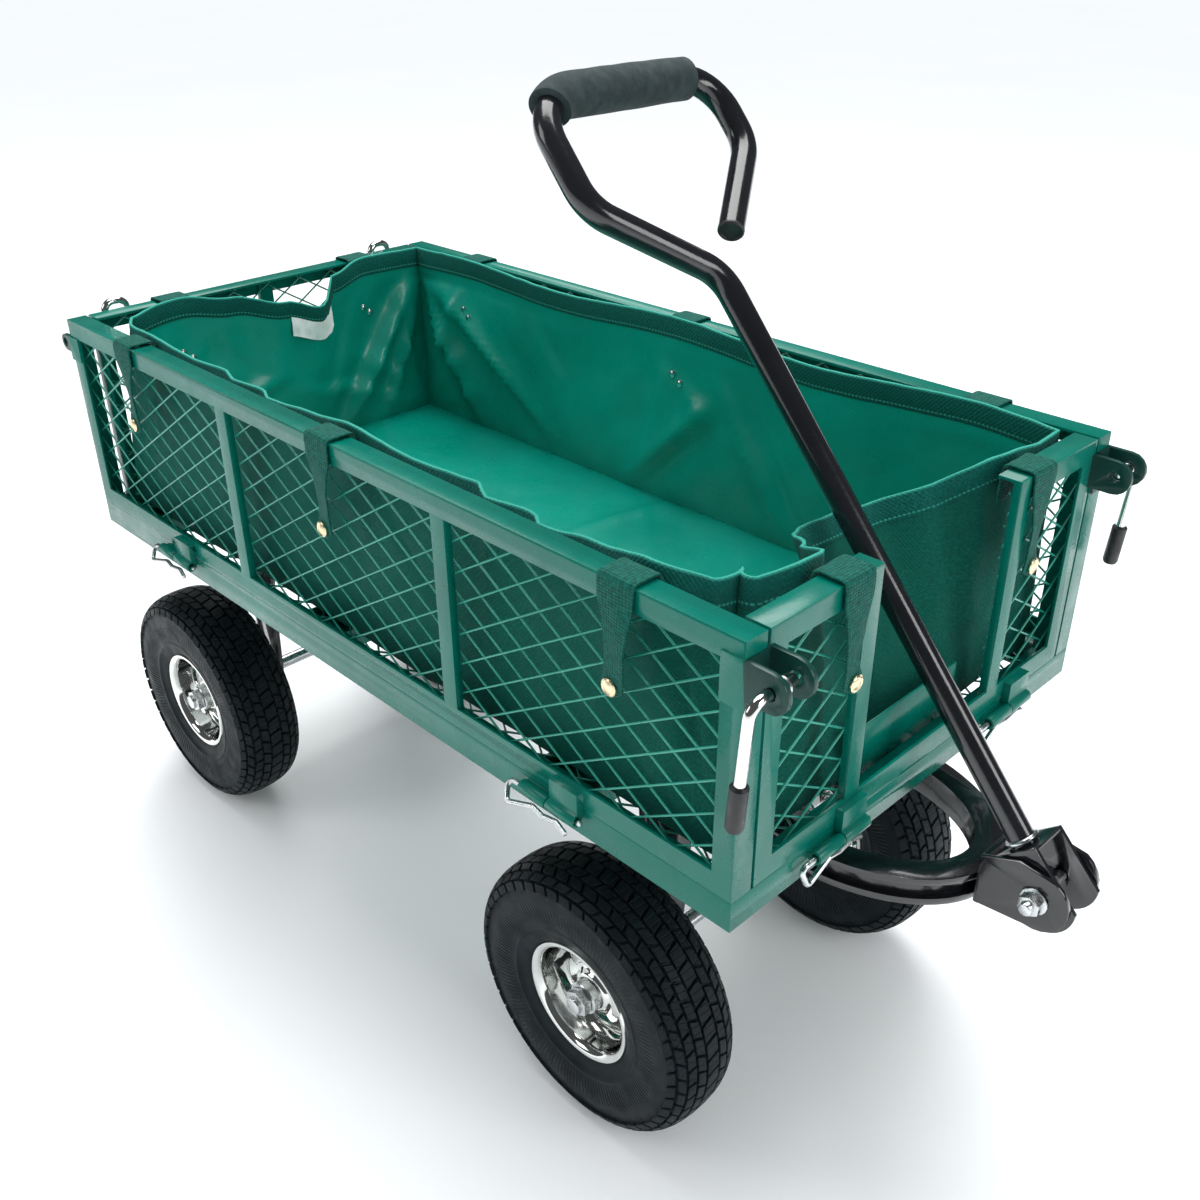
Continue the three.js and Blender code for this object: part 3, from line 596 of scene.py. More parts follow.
def frames():
    panels = ("right_panel_frame", "left_panel_frame", "rear_panel_frame", "front_gate_frame")
    undercarriage = (
        "rear_axle_bracket", "king_plate", "steering_bolster", "drawbar_ring", "hitch_bracket",
        "handle_yoke",
    )
    for nodes, width, material in (
        (("tray_frame", "handle_rest_plate"), 0.0007, GREEN),
        (panels, 0.0006, GREEN),
        (undercarriage, 0.0008, BLACK),
        (("kingpin", "hitch_bolt", "front_axle", "rear_axle"), 0.0006, ZINC),
    ):
        for node in nodes:
            rounded_edges(node, width, material)
    # The latch ears get the darker green of painted shade.
    for node in panels:
        shade_latch_ears(node)


def shade_latch_ears(node):
    """The latch ears stand out past the tray's outline; their faces get a darker copy of the green as
    painted shade.
    """
    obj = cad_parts[node]
    obj.data.materials.append(SHADED_EAR_GREEN)
    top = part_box(node)[1].z
    centre = middle("floor_mesh").x
    low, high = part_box("right_panel_mesh")
    half = (high.x - low.x) / 2 + 0.0030
    for face in obj.data.polygons:
        if abs(face.center.x - centre) > half and face.center.z > top - EAR_DEPTH:
            face.material_index = 1


# ---- Wire panels ---------------------------------------------------------------------------------
def wire_panel(name, node, across, up, body):
    """Welded wires in two leaning rows, laid one on the other and cut square at the frame."""
    low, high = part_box(node)
    centre, size = (low + high) / 2, high - low
    width, height = abs(size.dot(across)), abs(size.dot(up))
    facing = across.cross(up)
    run = across * math.cos(WIRE_LEAN) + up * math.sin(WIRE_LEAN)
    length = height / math.sin(WIRE_LEAN) + 0.02
    count = math.ceil((width + height / math.tan(WIRE_LEAN)) / WIRE_SPACING) + 1
    start = centre - run * length / 2 - across * WIRE_SPACING * (count - 1) / 2
    drop_selection()
    turn = run.to_track_quat("Z", "Y").to_euler()
    place = start + facing * WIRE_RADIUS * 0.8
    bpy.ops.mesh.primitive_circle_add(vertices=8, radius=WIRE_RADIUS, location=place, rotation=turn)
    row = named(name)
    settle(row)
    bpy.ops.object.mode_set(mode="EDIT")
    bpy.ops.mesh.select_mode(type="EDGE")
    bpy.ops.mesh.select_all(action="SELECT")
    bpy.ops.mesh.extrude_region_move(TRANSFORM_OT_translate={"value": run * length})
    bpy.ops.object.mode_set(mode="OBJECT")
    array = row.modifiers.new("row", "ARRAY")
    array.count = count
    array.use_relative_offset = False
    array.use_constant_offset = True
    array.constant_offset_displace = across * WIRE_SPACING
    apply_all(row)
    swap = Matrix.Translation(centre) @ Matrix.Rotation(math.pi, 4, up) @ Matrix.Translation(-centre)
    panel = join(name, [row, copied(row, name + "_crossing", swap)])
    edit(panel)
    for normal, reach in ((across, width / 2), (-across, width / 2), (up, height / 2), (-up, height / 2)):
        bpy.ops.mesh.select_all(action="SELECT")
        edge = centre + normal * reach
        bpy.ops.mesh.bisect(plane_co=edge, plane_no=normal, use_fill=True, clear_outer=True)
    bpy.ops.object.mode_set(mode="OBJECT")
    face_out(panel, 0.00001)
    return finish_piece(panel, body, WIRE_GREEN, [node], 50)


def wire_panels():
    x, y, z = Vector((1, 0, 0)), Vector((0, 1, 0)), Vector((0, 0, 1))
    for side, across in (("right", x), ("left", x), ("rear", y)):
        wire_panel(side + "_panel_wires", side + "_panel_mesh", across, z, side + "_panel")
    for side in ("right", "left"):
        wire_panel("front_gate_wires_" + side, "front_gate_mesh_" + side, y, z, "front_gate")
    wire_panel("floor_wires", "floor_mesh", x, y, "cart")


# ---- Wheels --------------------------------------------------------------------------------------
# Half of the tyre's outline, as (radius, half width), from the crown out to the bead.
TYRE_OUTLINE = [
    (0.1268, 0.0065), (0.1266, 0.0082), (0.1258, 0.0165), (0.1255, 0.0180), (0.1233, 0.0250),
    (0.1227, 0.0263), (0.1188, 0.0316), (0.1180, 0.0324), (0.1112, 0.0358), (0.1098, 0.0363),
    (0.1040, 0.0372), (0.0960, 0.0376), (0.0880, 0.0372), (0.0810, 0.0360), (0.0765, 0.0346),
    (0.0752, 0.0352), (0.0735, 0.0349), (0.0722, 0.0336), (0.0670, 0.0318), (0.0622, 0.0306),
    (0.0600, 0.0296), (0.0585, 0.0270), (0.0540, 0.0255),
]
TREAD_BANDS = [
    (0, 0.0066, 0), (0.0083, 0.0166, 0.5), (0.0179, 0.0251, 0), (0.0262, 0.0317, 0.5), (0.0323, 0.0359, 0),
]
PITCHES = 48
GROOVE = 0.15


def tyre_band(c):
    if math.hypot(c.x, c.z) < 0.1105:
        return None
    for low, high, phase in TREAD_BANDS:
        if low <= abs(c.y) <= high:
            return phase
    return None


def on_block(c, n):
    phase = tyre_band(c)
    if phase is None:
        return False
    around = (math.atan2(c.z, c.x) / math.tau * PITCHES - phase) % 1.0
    return GROOVE < around < 1.0 if GROOVE < around else False


def tyre_shape():
    """One tread pitch is spun, copied round the wheel, twisted into zigzag bands and its blocks raised."""
    left = [(r, a) for r, a in reversed(TYRE_OUTLINE)]
    right = [(r, -a) for r, a in TYRE_OUTLINE]
    tyre = drawn("tyre_shape", [Vector((r, a, 0)) for r, a in left + right + left[:1]])
    pitch = math.tau / PITCHES
    about = {"center": (0, 0, 0), "axis": (0, 1, 0)}
    for share in (GROOVE, 0.5 - GROOVE, GROOVE, 0.5 - GROOVE):
        bpy.ops.mesh.spin(steps=1, angle=pitch * share, **about)
    bpy.ops.mesh.select_all(action="SELECT")
    bpy.ops.mesh.remove_doubles(threshold=0.00002)
    bpy.ops.mesh.select_all(action="SELECT")
    bpy.ops.mesh.spin(steps=PITCHES - 1, angle=pitch * (PITCHES - 1), dupli=True, **about)
    bpy.ops.object.mode_set(mode="OBJECT")
    face_out(tyre)
    for index, (_, half) in enumerate(TYRE_OUTLINE[:9]):
        for side in (1, -1):
            lean = side * (1 if index % 4 in (0, 1) else -1) * pitch * 0.11
            pick(tyre, lambda c: abs(c.y - side * half) < 0.0002 and math.hypot(c.x, c.z) > 0.105, "VERT")
            bpy.ops.transform.rotate(value=lean, orient_axis="Y", center_override=(0, 0, 0))
    pick(tyre, on_block)
    bpy.ops.mesh.extrude_region_shrink_fatten(TRANSFORM_OT_shrink_fatten={"value": 0.0031})
    bpy.ops.object.mode_set(mode="OBJECT")
    wrap_tyre(tyre)
    break_edges(tyre, 0.0005, 42, 1)
    apply_all(tyre)
    return tyre


def wrap_tyre(tyre):
    """Lays a map on the tyre: turns round the wheel, and metres out from the axle."""
    layer = tyre.data.uv_layers.new(name="cloth")
    for face in tyre.data.polygons:
        base = math.atan2(face.center.z, face.center.x)
        for loop in face.loop_indices:
            co = tyre.data.vertices[tyre.data.loops[loop].vertex_index].co
            turn = math.atan2(co.z, co.x)
            turn += math.tau * round((base - turn) / math.tau)
            layer.data[loop].uv = (turn / math.tau, math.hypot(co.x, co.z))


def rim_shape():
    barrel = [
        (0.0560, 0.0262), (0.0578, 0.0272), (0.0585, 0.0288), (0.0578, 0.0301), (0.0560, 0.0303),
        (0.0540, 0.0292), (0.0520, 0.0270), (0.0508, 0.0225), (0.0500, 0.0130), (0.0475, 0.0060),
    ]
    whole = barrel + [(r, -a) for r, a in reversed(barrel)]
    ring = turned("rim_barrel", whole, steps=72)
    disc = [
        (0.0478, -0.0030), (0.0465, -0.0008), (0.0440, 0.0004), (0.0420, 0.0010), (0.0380, 0.0042),
        (0.0330, 0.0062), (0.0270, 0.0072), (0.0225, 0.0080), (0.0200, 0.0105), (0.0182, 0.0135),
        (0.0152, 0.0142),
    ]
    plate = turned("rim_disc", disc, steps=60)
    def in_window(c, n):
        share = (math.atan2(c.z, c.x) / math.tau * 5) % 1.0
        return 0.0285 < math.hypot(c.x, c.z) < 0.0412 and 0.30 < share < 0.70
    pick(plate, in_window)
    bpy.ops.mesh.delete(type="FACE")
    bpy.ops.object.mode_set(mode="OBJECT")
    for obj, rounds in ((ring, 0), (plate, 2)):
        thicken(obj, 0.0013)
        if rounds:
            soft = obj.modifiers.new("round", "SUBSURF")
            soft.levels = soft.render_levels = rounds
        apply_all(obj)
    return join("rim_shape", [ring, plate])


def hub_shape():
    tube = [
        (0.0085, 0.0), (0.0085, 0.0232), (0.0112, 0.0232), (0.0116, 0.0240), (0.0142, 0.0240),
        (0.0150, 0.0232), (0.0150, 0.0165), (0.0142, 0.0160), (0.0142, 0.0),
    ]
    whole = tube + [(r, -a) for r, a in reversed(tube)] + tube[:1]
    return turned("hub_shape", whole, steps=40)


def valve_shape():
    """The tube's valve stem and cap, standing out through the rim."""
    stem = [
        (0, 0), (0.0032, 0), (0.0032, 0.006), (0.0026, 0.008), (0.0026, 0.013), (0.0036, 0.0135),
        (0.0036, 0.0195), (0.0028, 0.0205), (0, 0.0207),
    ]
    return turned("valve_shape", stem, steps=16)


def wheels():
    tyre, rim, hub, valve = tyre_shape(), rim_shape(), hub_shape(), valve_shape()
    for place in PLACES:
        body = "wheel_" + place
        centre = middle("hub_" + place)
        half_turn = math.pi if "right" in place else 0
        seat = Matrix.Translation(centre) @ Matrix.Rotation(half_turn, 4, "Z")
        seat = seat @ Matrix.Rotation(0.35 * PLACES.index(place), 4, "Y")
        for shape, title, material, slot, node in (
            (tyre, "tread_tyre_", RUBBER, "tyre_rubber", "tyre_"),
            (rim, "dished_rim_", CHROME, "rim_chrome", "rim_"),
            (hub, "bearing_hub_", ZINC, "zinc_steel", "hub_"),
        ):
            finish_piece(copied(shape, title + place, seat), body, material, [node + place], 40)
        stem = seat @ Matrix.Translation((0.040, 0.0, 0.010)) @ Matrix.Rotation(0.12, 4, "Z")
        finish_piece(copied(valve, "valve_stem_" + place, stem), body, SLEEVE, (), 40)
    for obj in (tyre, rim, hub, valve):
        bpy.data.objects.remove(obj)


# ---- Latches, clips and straps -------------------------------------------------------------------
def latch_rod(place, points, stop):
    """A latch's bent rod and the collar that stops it, their finish and the body they ride on."""
    node, body = "latch_pin_" + place, "latch_" + place
    rod = bent_rod("latch_rod_" + place, points, LATCH_RADIUS, 0.010, 16, 7)
    round_ends(rod, 16, 0.0011)
    finish_piece(rod, body, CHROME, [node], 40)
    collar = [
        (0, 0), (0.0052, 0), (COLLAR_RADIUS, 0.0012), (COLLAR_RADIUS, 0.0030), (0.0052, 0.0042),
        (0, 0.0042),
    ]
    ring = turned("latch_collar_" + place, collar, (points[0][0], stop - 0.0021, points[0][2]), 24)
    finish_piece(ring, body, ZINC, (), 40)


def front_latch(place):
    """The rod slides inwards and hangs down as a lever with a rubber grip."""
    low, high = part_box("latch_pin_" + place)
    side = -1 if "right" in place else 1
    outer, inner = (low.y, high.y) if side < 0 else (high.y, low.y)
    x, z = high.x - COLLAR_RADIUS, high.z - COLLAR_RADIUS
    lever_x, lever_y = low.x + SLEEVE_RADIUS, outer - side * SLEEVE_RADIUS
    points = [(x, inner, z), (x, lever_y, z), (lever_x, lever_y, low.z + 0.006)]
    latch_rod(place, points, inner + side * 0.0111)
    grip = [
        (0, 0), (0.0048, 0), (SLEEVE_RADIUS, 0.0016), (SLEEVE_RADIUS, 0.0330), (0.0052, 0.0352),
        (0.0042, 0.0352), (0, 0.0352),
    ]
    sleeve = turned("latch_sleeve_" + place, grip, (0, 0, 0), 24)
    lean = Vector(points[2]) - Vector(points[1])
    start = Vector(points[2]) - lean.normalized() * 0.0292
    sleeve.data.transform(Matrix.Translation(start) @ facing_along(lean))
    finish_piece(sleeve, "latch_" + place, SLEEVE, (), 40)


def rear_latch(place):
    """The rod slides outwards and ends in a wire loop that stands just over the rear rail."""
    low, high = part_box("latch_pin_" + place)
    side = -1 if "right" in place else 1
    tip, far = (low.y, high.y) if side < 0 else (high.y, low.y)
    x, z, top = (low.x + high.x) / 2, low.z + COLLAR_RADIUS, high.z - LATCH_RADIUS
    inner = far + side * LATCH_RADIUS
    points = [
        (x, tip, z), (x, inner + side * 0.030, z), (x, inner + side * 0.026, top),
        (x, inner + side * 0.004, top), (x, inner, z),
    ]
    latch_rod(place, points, tip - side * 0.013)


def hinge_clip(place):
    """A spring wire: straight through the barrels, then turned back along them in a wave."""
    node, body = "hinge_pin_" + place, "hinge_pin_body_" + place
    low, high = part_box(node)
    top = high.z - PIN_RADIUS
    on_side = place.startswith(("right", "left"))
    ahead = Vector((1, 0, 0)) if on_side else Vector((0, 1, 0))
    out = Vector((0, 0, 0))
    if on_side:
        out.y = -1 if place.startswith("right") else 1
    else:
        out.x = 1 if place.startswith("front") else -1
    seat = Vector(((low.x + high.x) / 2, (low.y + high.y) / 2, top))
    half = abs((high - low).dot(ahead)) / 2
    down = Vector((0, 0, -1))
    away = out * 0.64 + down * 0.77 if on_side else down
    back = seat - ahead * (half - PIN_RADIUS)
    wave = [
        (0.010, 0.016 if on_side else 0.021), (0.034, 0.0086), (0.046, 0.0106), (0.060, 0.0086),
        (0.072, 0.0125),
    ]
    points = [seat + ahead * half, back] + [back + ahead * along + away * off for along, off in wave]
    clip = bent_rod("hinge_clip_" + place, points, PIN_RADIUS * 0.92, 0.0045, 12, 6)
    round_ends(clip, 12, 0.0007)
    finish_piece(clip, body, ZINC, [node], 45)


def snap_shape():
    """A snap button: a rolled ring round a shallow socket."""
    ring = [
        (0, -0.0012), (0.0066, -0.0012), (0.0070, -0.0002), (0.0068, 0.0008), (0.0058, 0.0014),
        (0.0046, 0.0009), (0.0036, 0.0013), (0.0018, 0.0019), (0, 0.0020),
    ]
    return turned("snap_shape", ring, steps=28)


# The strap's middle line, as (out past the rail's face, height above the rail's top).
STRAP_PATH = [
    (-0.0250, -0.030), (-0.0252, -0.016), (-0.0248, -0.004), (-0.0228, 0.0022), (-0.0190, 0.0032),
    (-0.0100, 0.0030), (-0.0010, 0.0030), (0.0018, 0.0020), (0.0027, -0.002), (0.0028, -0.012),
    (0.0030, -0.026), (0.0026, -0.042), (0.0012, -0.058), (0.0004, -0.072), (0.0002, -0.082),
    (0.0002, -0.090),
]


def along_path(points, share):
    spot = share * (len(points) - 1)
    i = min(int(spot), len(points) - 2)
    t = spot - i
    return tuple(a + (b - a) * t for a, b in zip(points[i], points[i + 1]))


def strap(node, body, rail, out, snap, seed):
    """A knitted strap folded over the top rail, its free end narrowed, twisted and snapped down."""
    low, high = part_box(node)
    across = Vector((1, 0, 0)) if out.x == 0 else Vector((0, 1, 0))
    centre = (low + high) / 2
    face = rail_face(body, out)
    top = rail_top(rail)
    rng = random.Random(seed)
    lean = rng.uniform(0.18, 0.42) * rng.choice((-1, 1))
    shift = rng.uniform(0.004, 0.010) * rng.choice((-1, 1))
    rows, cols = 46, 8
    points, marks = [], []
    travelled = 0.0
    before = None
    for i in range(rows + 1):
        share = i / rows
        reach, rise = along_path(STRAP_PATH, share)
        free = max(0.0, (share - 0.62) / 0.38)
        width = STRAP_WIDTH * (1 - 0.36 * free ** 0.8)
        if free > 0.86:
            width *= 1 - 0.75 * ((free - 0.86) / 0.14) ** 1.5
        turn = lean * math.sin(math.pi * min(1.0, free * 1.1))
        wide = across * math.cos(turn) + out * math.sin(turn)
        spot = Vector((centre.x, centre.y, 0))
        spot += out * (face + reach - spot.dot(out)) + across * shift * free ** 1.4
        spot.z = top + rise
        if before is not None:
            travelled += (spot - before).length
        before = spot.copy()
        for j in range(cols + 1):
            side = j / cols - 0.5
            curl = 0.0016 * math.cos(side * math.pi) * free
            wobble = 0.0006 * noise.noise(Vector((spot.x * 60, side * 4 + seed, travelled * 60)))
            points.append(spot + wide * side * width + out * (curl + wobble))
            marks.append((side * width, travelled))
    faces = grid_faces(rows, cols)
    obj = cloth_piece(node.replace("strap_", "webbing_strap_"), points, faces, marks)
    thicken(obj, 0.0017)
    break_edges(obj, 0.0005, 50)
    apply_all(obj)
    finish_piece(obj, body, WEBBING, [node], 60)
    reach, rise = along_path(STRAP_PATH, SNAP_SHARE)
    button = copied(snap, node.replace("strap_", "snap_button_"))
    spot = centre + out * (face + reach + 0.0034 - centre.dot(out)) + across * shift * 0.7
    spot.z = top + rise
    button.data.transform(Matrix.Translation(spot) @ facing_along(out))
    finish_piece(button, body, BRASS, (), 40)


def rail_face(body, out):
    """How far a top rail's outer face is from the origin, along a direction in plan."""
    low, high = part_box("front_gate_mesh_right" if body == "front_gate" else body + "_mesh")
    return max(low.dot(out), high.dot(out)) + 0.0073


def rail_top(rail):
    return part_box(rail)[1].z


def grid_faces(rows, cols):
    """Faces over a grid of points that is listed row by row."""
    step = cols + 1
    corners = [i * step + j for i in range(rows) for j in range(cols)]
    return [(a, a + 1, a + step + 1, a + step) for a in corners]


def cloth_piece(name, points, faces, marks):
    mesh = bpy.data.meshes.new(name)
    mesh.from_pydata([tuple(p) for p in points], [], faces)
    layer = mesh.uv_layers.new(name="cloth")
    for loop in mesh.loops:
        layer.data[loop.index].uv = marks[loop.vertex_index]
    obj = bpy.data.objects.new(name, mesh)
    bpy.context.scene.collection.objects.link(obj)
    return obj


def straps():
    snap = snap_shape()
    ways = {"right": (0, -1), "left": (0, 1), "rear": (-1, 0), "front": (1, 0)}
    nodes = [n for n in sorted(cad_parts) if n.startswith("strap_")]
    for seed, node in enumerate(nodes):
        side = node.split("_")[1]
        body = "front_gate" if side == "front" else side + "_panel"
        rail = body + "_frame"
        strap(node, body, rail, Vector((*ways[side], 0)), snap, seed + 3)
    bpy.data.objects.remove(snap)


# ---- Handle --------------------------------------------------------------------------------------
def on_handle(along, across):
    shaft = Vector((-math.cos(HANDLE_LEAN), 0, math.sin(HANDLE_LEAN)))
    return middle("hitch_bolt") + shaft * along + Vector((0, across, 0))


def handle():
    points = [on_handle(a, b) for a, b in HANDLE_ROUTE]
    tube = bent_rod("bent_handle_tube", points, HANDLE_RADIUS, HANDLE_BEND, 28, 10)
    finish_piece(tube, "handle", BLACK, ["handle_tube"], 50)
    grip()
    end, before = points[-1], points[-2]
    ahead = (end - before).normalized()
    cup = [
        (0, -0.004), (0.0094, -0.004), (HANDLE_RADIUS, -0.0005), (HANDLE_RADIUS, 0.0012),
        (0.0096, 0.0024), (0.0082, 0.0026), (0.0074, 0.0012), (0.0030, 0.0008), (0, 0.0008),
    ]
    plug = turned("handle_end_plug", cup, steps=28)
    plug.data.transform(Matrix.Translation(end) @ facing_along(ahead))
    finish_piece(plug, "handle", PLUG, ["handle_end_cap"], 35)
    weld_ring()


def weld_ring():
    """The bead where the tube is welded into the yoke."""
    start = on_handle(HANDLE_ROUTE[0][0] + 0.004, 0)
    drop_selection()
    bpy.ops.mesh.primitive_torus_add(
        major_radius=HANDLE_RADIUS + 0.0006, minor_radius=0.0019, major_segments=36, minor_segments=8,
    )
    bead = named("handle_weld_bead")
    ahead = on_handle(1, 0) - on_handle(0, 0)
    bead.data.transform(Matrix.Translation(start) @ ahead.to_track_quat("Z", "Y").to_matrix().to_4x4())
    for point in bead.data.vertices:
        point.co += (point.co - start).normalized() * 0.0006 * noise.noise(point.co * 380)
    finish_piece(bead, "handle", ZINC, (), 60)


def grip():
    """Thick foam pushed round the first bend and along the grip bar, crowned between its cut ends."""
    a, b, c = (on_handle(*HANDLE_ROUTE[i]) for i in (2, 3, 4))
    ahead, side = (b - a).normalized(), (c - b).normalized()
    normal = ahead.cross(side).normalized()
    path, facing = [], []
    centre = b - ahead * HANDLE_BEND + side * HANDLE_BEND
    for i in range(9):
        turn = math.radians(52 + 38 * i / 8)
        path.append(centre - side * HANDLE_BEND * math.cos(turn) + ahead * HANDLE_BEND * math.sin(turn))
        facing.append((ahead * math.cos(turn) + side * math.sin(turn)).normalized())
    length = (c - b).length - 2 * HANDLE_BEND + 0.006
    for i in range(1, 37):
        path.append(b + side * (HANDLE_BEND + length * i / 36))
        facing.append(side)
    rings, around = len(path), 40
    points, faces, marks = [], [], []
    def ring(spot, face, radius):
        out = face.cross(normal).normalized()
        for k in range(around):
            turn = math.tau * k / around
            edge = out * math.cos(turn) + normal * math.sin(turn)
            lump = 0.0005 * noise.noise(Vector((spot.x, spot.y, spot.z)) * 45 + edge)
            points.append(spot + edge * (radius + lump))
            marks.append((k / around, len(points) / around * 0.004))
    bore = HANDLE_RADIUS + 0.0001
    ring(path[0], facing[0], bore)
    ring(path[0] - facing[0] * 0.0006, facing[0], GRIP_RADIUS - 0.0016)
    for i, (spot, face) in enumerate(zip(path, facing)):
        share = i / (rings - 1)
        crown = 0.0005 * math.sin(math.pi * share)
        ring(spot, face, GRIP_RADIUS - 0.0004 + crown)
    ring(path[-1] + side * 0.0006, side, GRIP_RADIUS - 0.0016)
    ring(path[-1], side, bore)
    total = len(points) // around
    for i in range(total - 1):
        for k in range(around):
            k2 = (k + 1) % around
            faces.append((i * around + k, i * around + k2, (i + 1) * around + k2, (i + 1) * around + k))
    last = (total - 1) * around
    for k in range(around):
        k2 = (k + 1) % around
        faces.append((last + k, last + k2, k2, k))
    obj = cloth_piece("foam_hand_grip", points, faces, marks)
    face_out(obj, 0.00001)
    finish_piece(obj, "handle", FOAM, ["foam_grip"], 50)


# ---- Liner ---------------------------------------------------------------------------------------
class Fold:
    """A crease pressed into the cloth: a soft ridge on one side of a line and a hollow on the other."""

    def __init__(self, start, end, height, width):
        self.start, self.end = Vector(start), Vector(end)
        self.height, self.width = height, width
        self.run = self.end - self.start
        self.length = self.run.length
        self.run.normalize()

    def at(self, spot):
        offset = spot - self.start
        down = offset.dot(self.run)
        if down < -0.02 or down > self.length + 0.02:
            return 0.0
        aside = (offset.x * self.run.y - offset.y * self.run.x) / self.width
        if abs(aside) > 3.2:
            return 0.0
        share = min(1.0, max(0.0, (down + 0.02) / (self.length + 0.04)))
        taper = math.sin(math.pi * share) ** 0.6
        return self.height * taper * (math.exp(-abs(aside) * 1.3) - 0.45 * math.exp(-((aside - 1.3) ** 2)))


# How the hem runs along each wall: (place along it, lean inwards, drop below the hem's top), in mm.
HEMS = {
    "right": [
        (-426, 20, 6), (-385, 9, 8), (-325, 3, 3), (-240, 4, 8), (-190, 7, 7), (-178, 4, 11),
        (-130, 7, 10), (-120, 4, 14), (-50, 5, 10), (8, 3, 3), (90, 6, 10), (165, 12, 9), (174, 6, 14),
        (224, 11, 13), (233, 6, 17), (290, 6, 11), (345, 4, 3), (385, 26, 12), (426, 56, 16),
    ],
    "front": [
        (-204, 44, 16), (-160, 24, 12), (-128, 8, 4), (-104, 12, 8), (-72, 50, 28), (-36, 82, 42),
        (-26, 86, 43), (10, 84, 44), (46, 74, 43), (80, 40, 26), (106, 12, 6), (130, 6, 4),
        (170, 4, 8), (204, 3, 6),
    ],
    "left": [
        (-426, 4, 4), (-325, 3, 2), (-160, 8, 8), (8, 3, 2), (180, 8, 9), (345, 3, 2), (426, 4, 6),
    ],
    "rear": [
        (-204, 20, 6), (-118, 3, 2), (-60, 10, 12), (0, 18, 28), (46, 20, 42), (58, 16, 36),
        (68, 8, 14), (118, 3, 2), (204, 4, 4),
    ],
}
# How late each wall starts to lean on its way up, and the straps' places along it, in metres.
LEAN_CURVE = {"right": 1.7, "left": 2.0, "front": 1.12, "rear": 1.5}
SIDE_STRAPS = (-0.325, 0.008, 0.345)
END_STRAPS = (-0.118, 0.118)
CORNER_PULL = 0.055  # of a neighbouring wall's lean, from the corner
BIG_FOLDS = {
    "left": [
        Fold((-0.425, 0.195), (-0.315, 0.01), 0.018, 0.016),
        Fold((-0.420, 0.195), (-0.190, 0.03), 0.015, 0.017),
        Fold((-0.060, 0.01), (0.050, 0.12), 0.012, 0.014),
        Fold((0.160, 0.01), (0.070, 0.15), 0.011, 0.013),
    ],
    "rear": [
        Fold((0.200, 0.195), (0.075, 0.01), 0.017, 0.014),
        Fold((0.200, 0.180), (0.135, 0.01), 0.012, 0.011),
        Fold((-0.190, 0.010), (-0.020, 0.10), 0.010, 0.012),
    ],
}


def along_hem(wall, place):
    """How far the hem leans in and drops at a place along a wall, eased between the stated places."""
    keys = [tuple(value / 1000 for value in key) for key in HEMS[wall]]
    if place <= keys[0][0]:
        return keys[0][1:]
    for a, b in zip(keys, keys[1:]):
        if place <= b[0]:
            t = (place - a[0]) / (b[0] - a[0])
            t = t * t * (3 - 2 * t)
            return a[1] + (b[1] - a[1]) * t, a[2] + (b[2] - a[2]) * t
    return keys[-1][1:]


def wall_folds(length, strapped, rng):
    """Folds that fan out from the corners and hang from the straps, on a wall seen flat."""
    folds = []
    half = length / 2
    for corner in (-1, 1):
        foot = Vector((corner * half, 0.0))
        for lean in (28, 50, 68):
            turn = math.radians(lean + rng.uniform(-8, 8))
            reach = rng.uniform(0.09, 0.20)
            end = foot + Vector((-corner * math.cos(turn), math.sin(turn))) * reach
            folds.append(Fold(foot, end, rng.uniform(0.004, 0.0075), rng.uniform(0.007, 0.014)))
        head = Vector((corner * half, 0.185))
        for lean in (35, 62):
            turn = math.radians(lean + rng.uniform(-8, 8))
            end = head + Vector((-corner * math.cos(turn), -math.sin(turn))) * rng.uniform(0.07, 0.15)
            folds.append(Fold(head, end, rng.uniform(0.003, 0.006), rng.uniform(0.007, 0.012)))
    for place in strapped:
        for lean in (-1, 1):
            start = Vector((place + lean * 0.012, 0.178))
            end = start + Vector((lean * rng.uniform(0.02, 0.10), -rng.uniform(0.06, 0.13)))
            folds.append(Fold(start, end, rng.uniform(0.002, 0.0045), rng.uniform(0.006, 0.012)))
    for _ in range(int(length / 0.11)):
        start = Vector((rng.uniform(-half, half), rng.uniform(0.02, 0.15)))
        turn = rng.uniform(-1.2, 1.2)
        end = start + Vector((math.sin(turn), math.cos(turn))) * rng.uniform(0.05, 0.12)
        folds.append(Fold(start, end, rng.uniform(-0.003, 0.004), rng.uniform(0.006, 0.014)))
    return folds


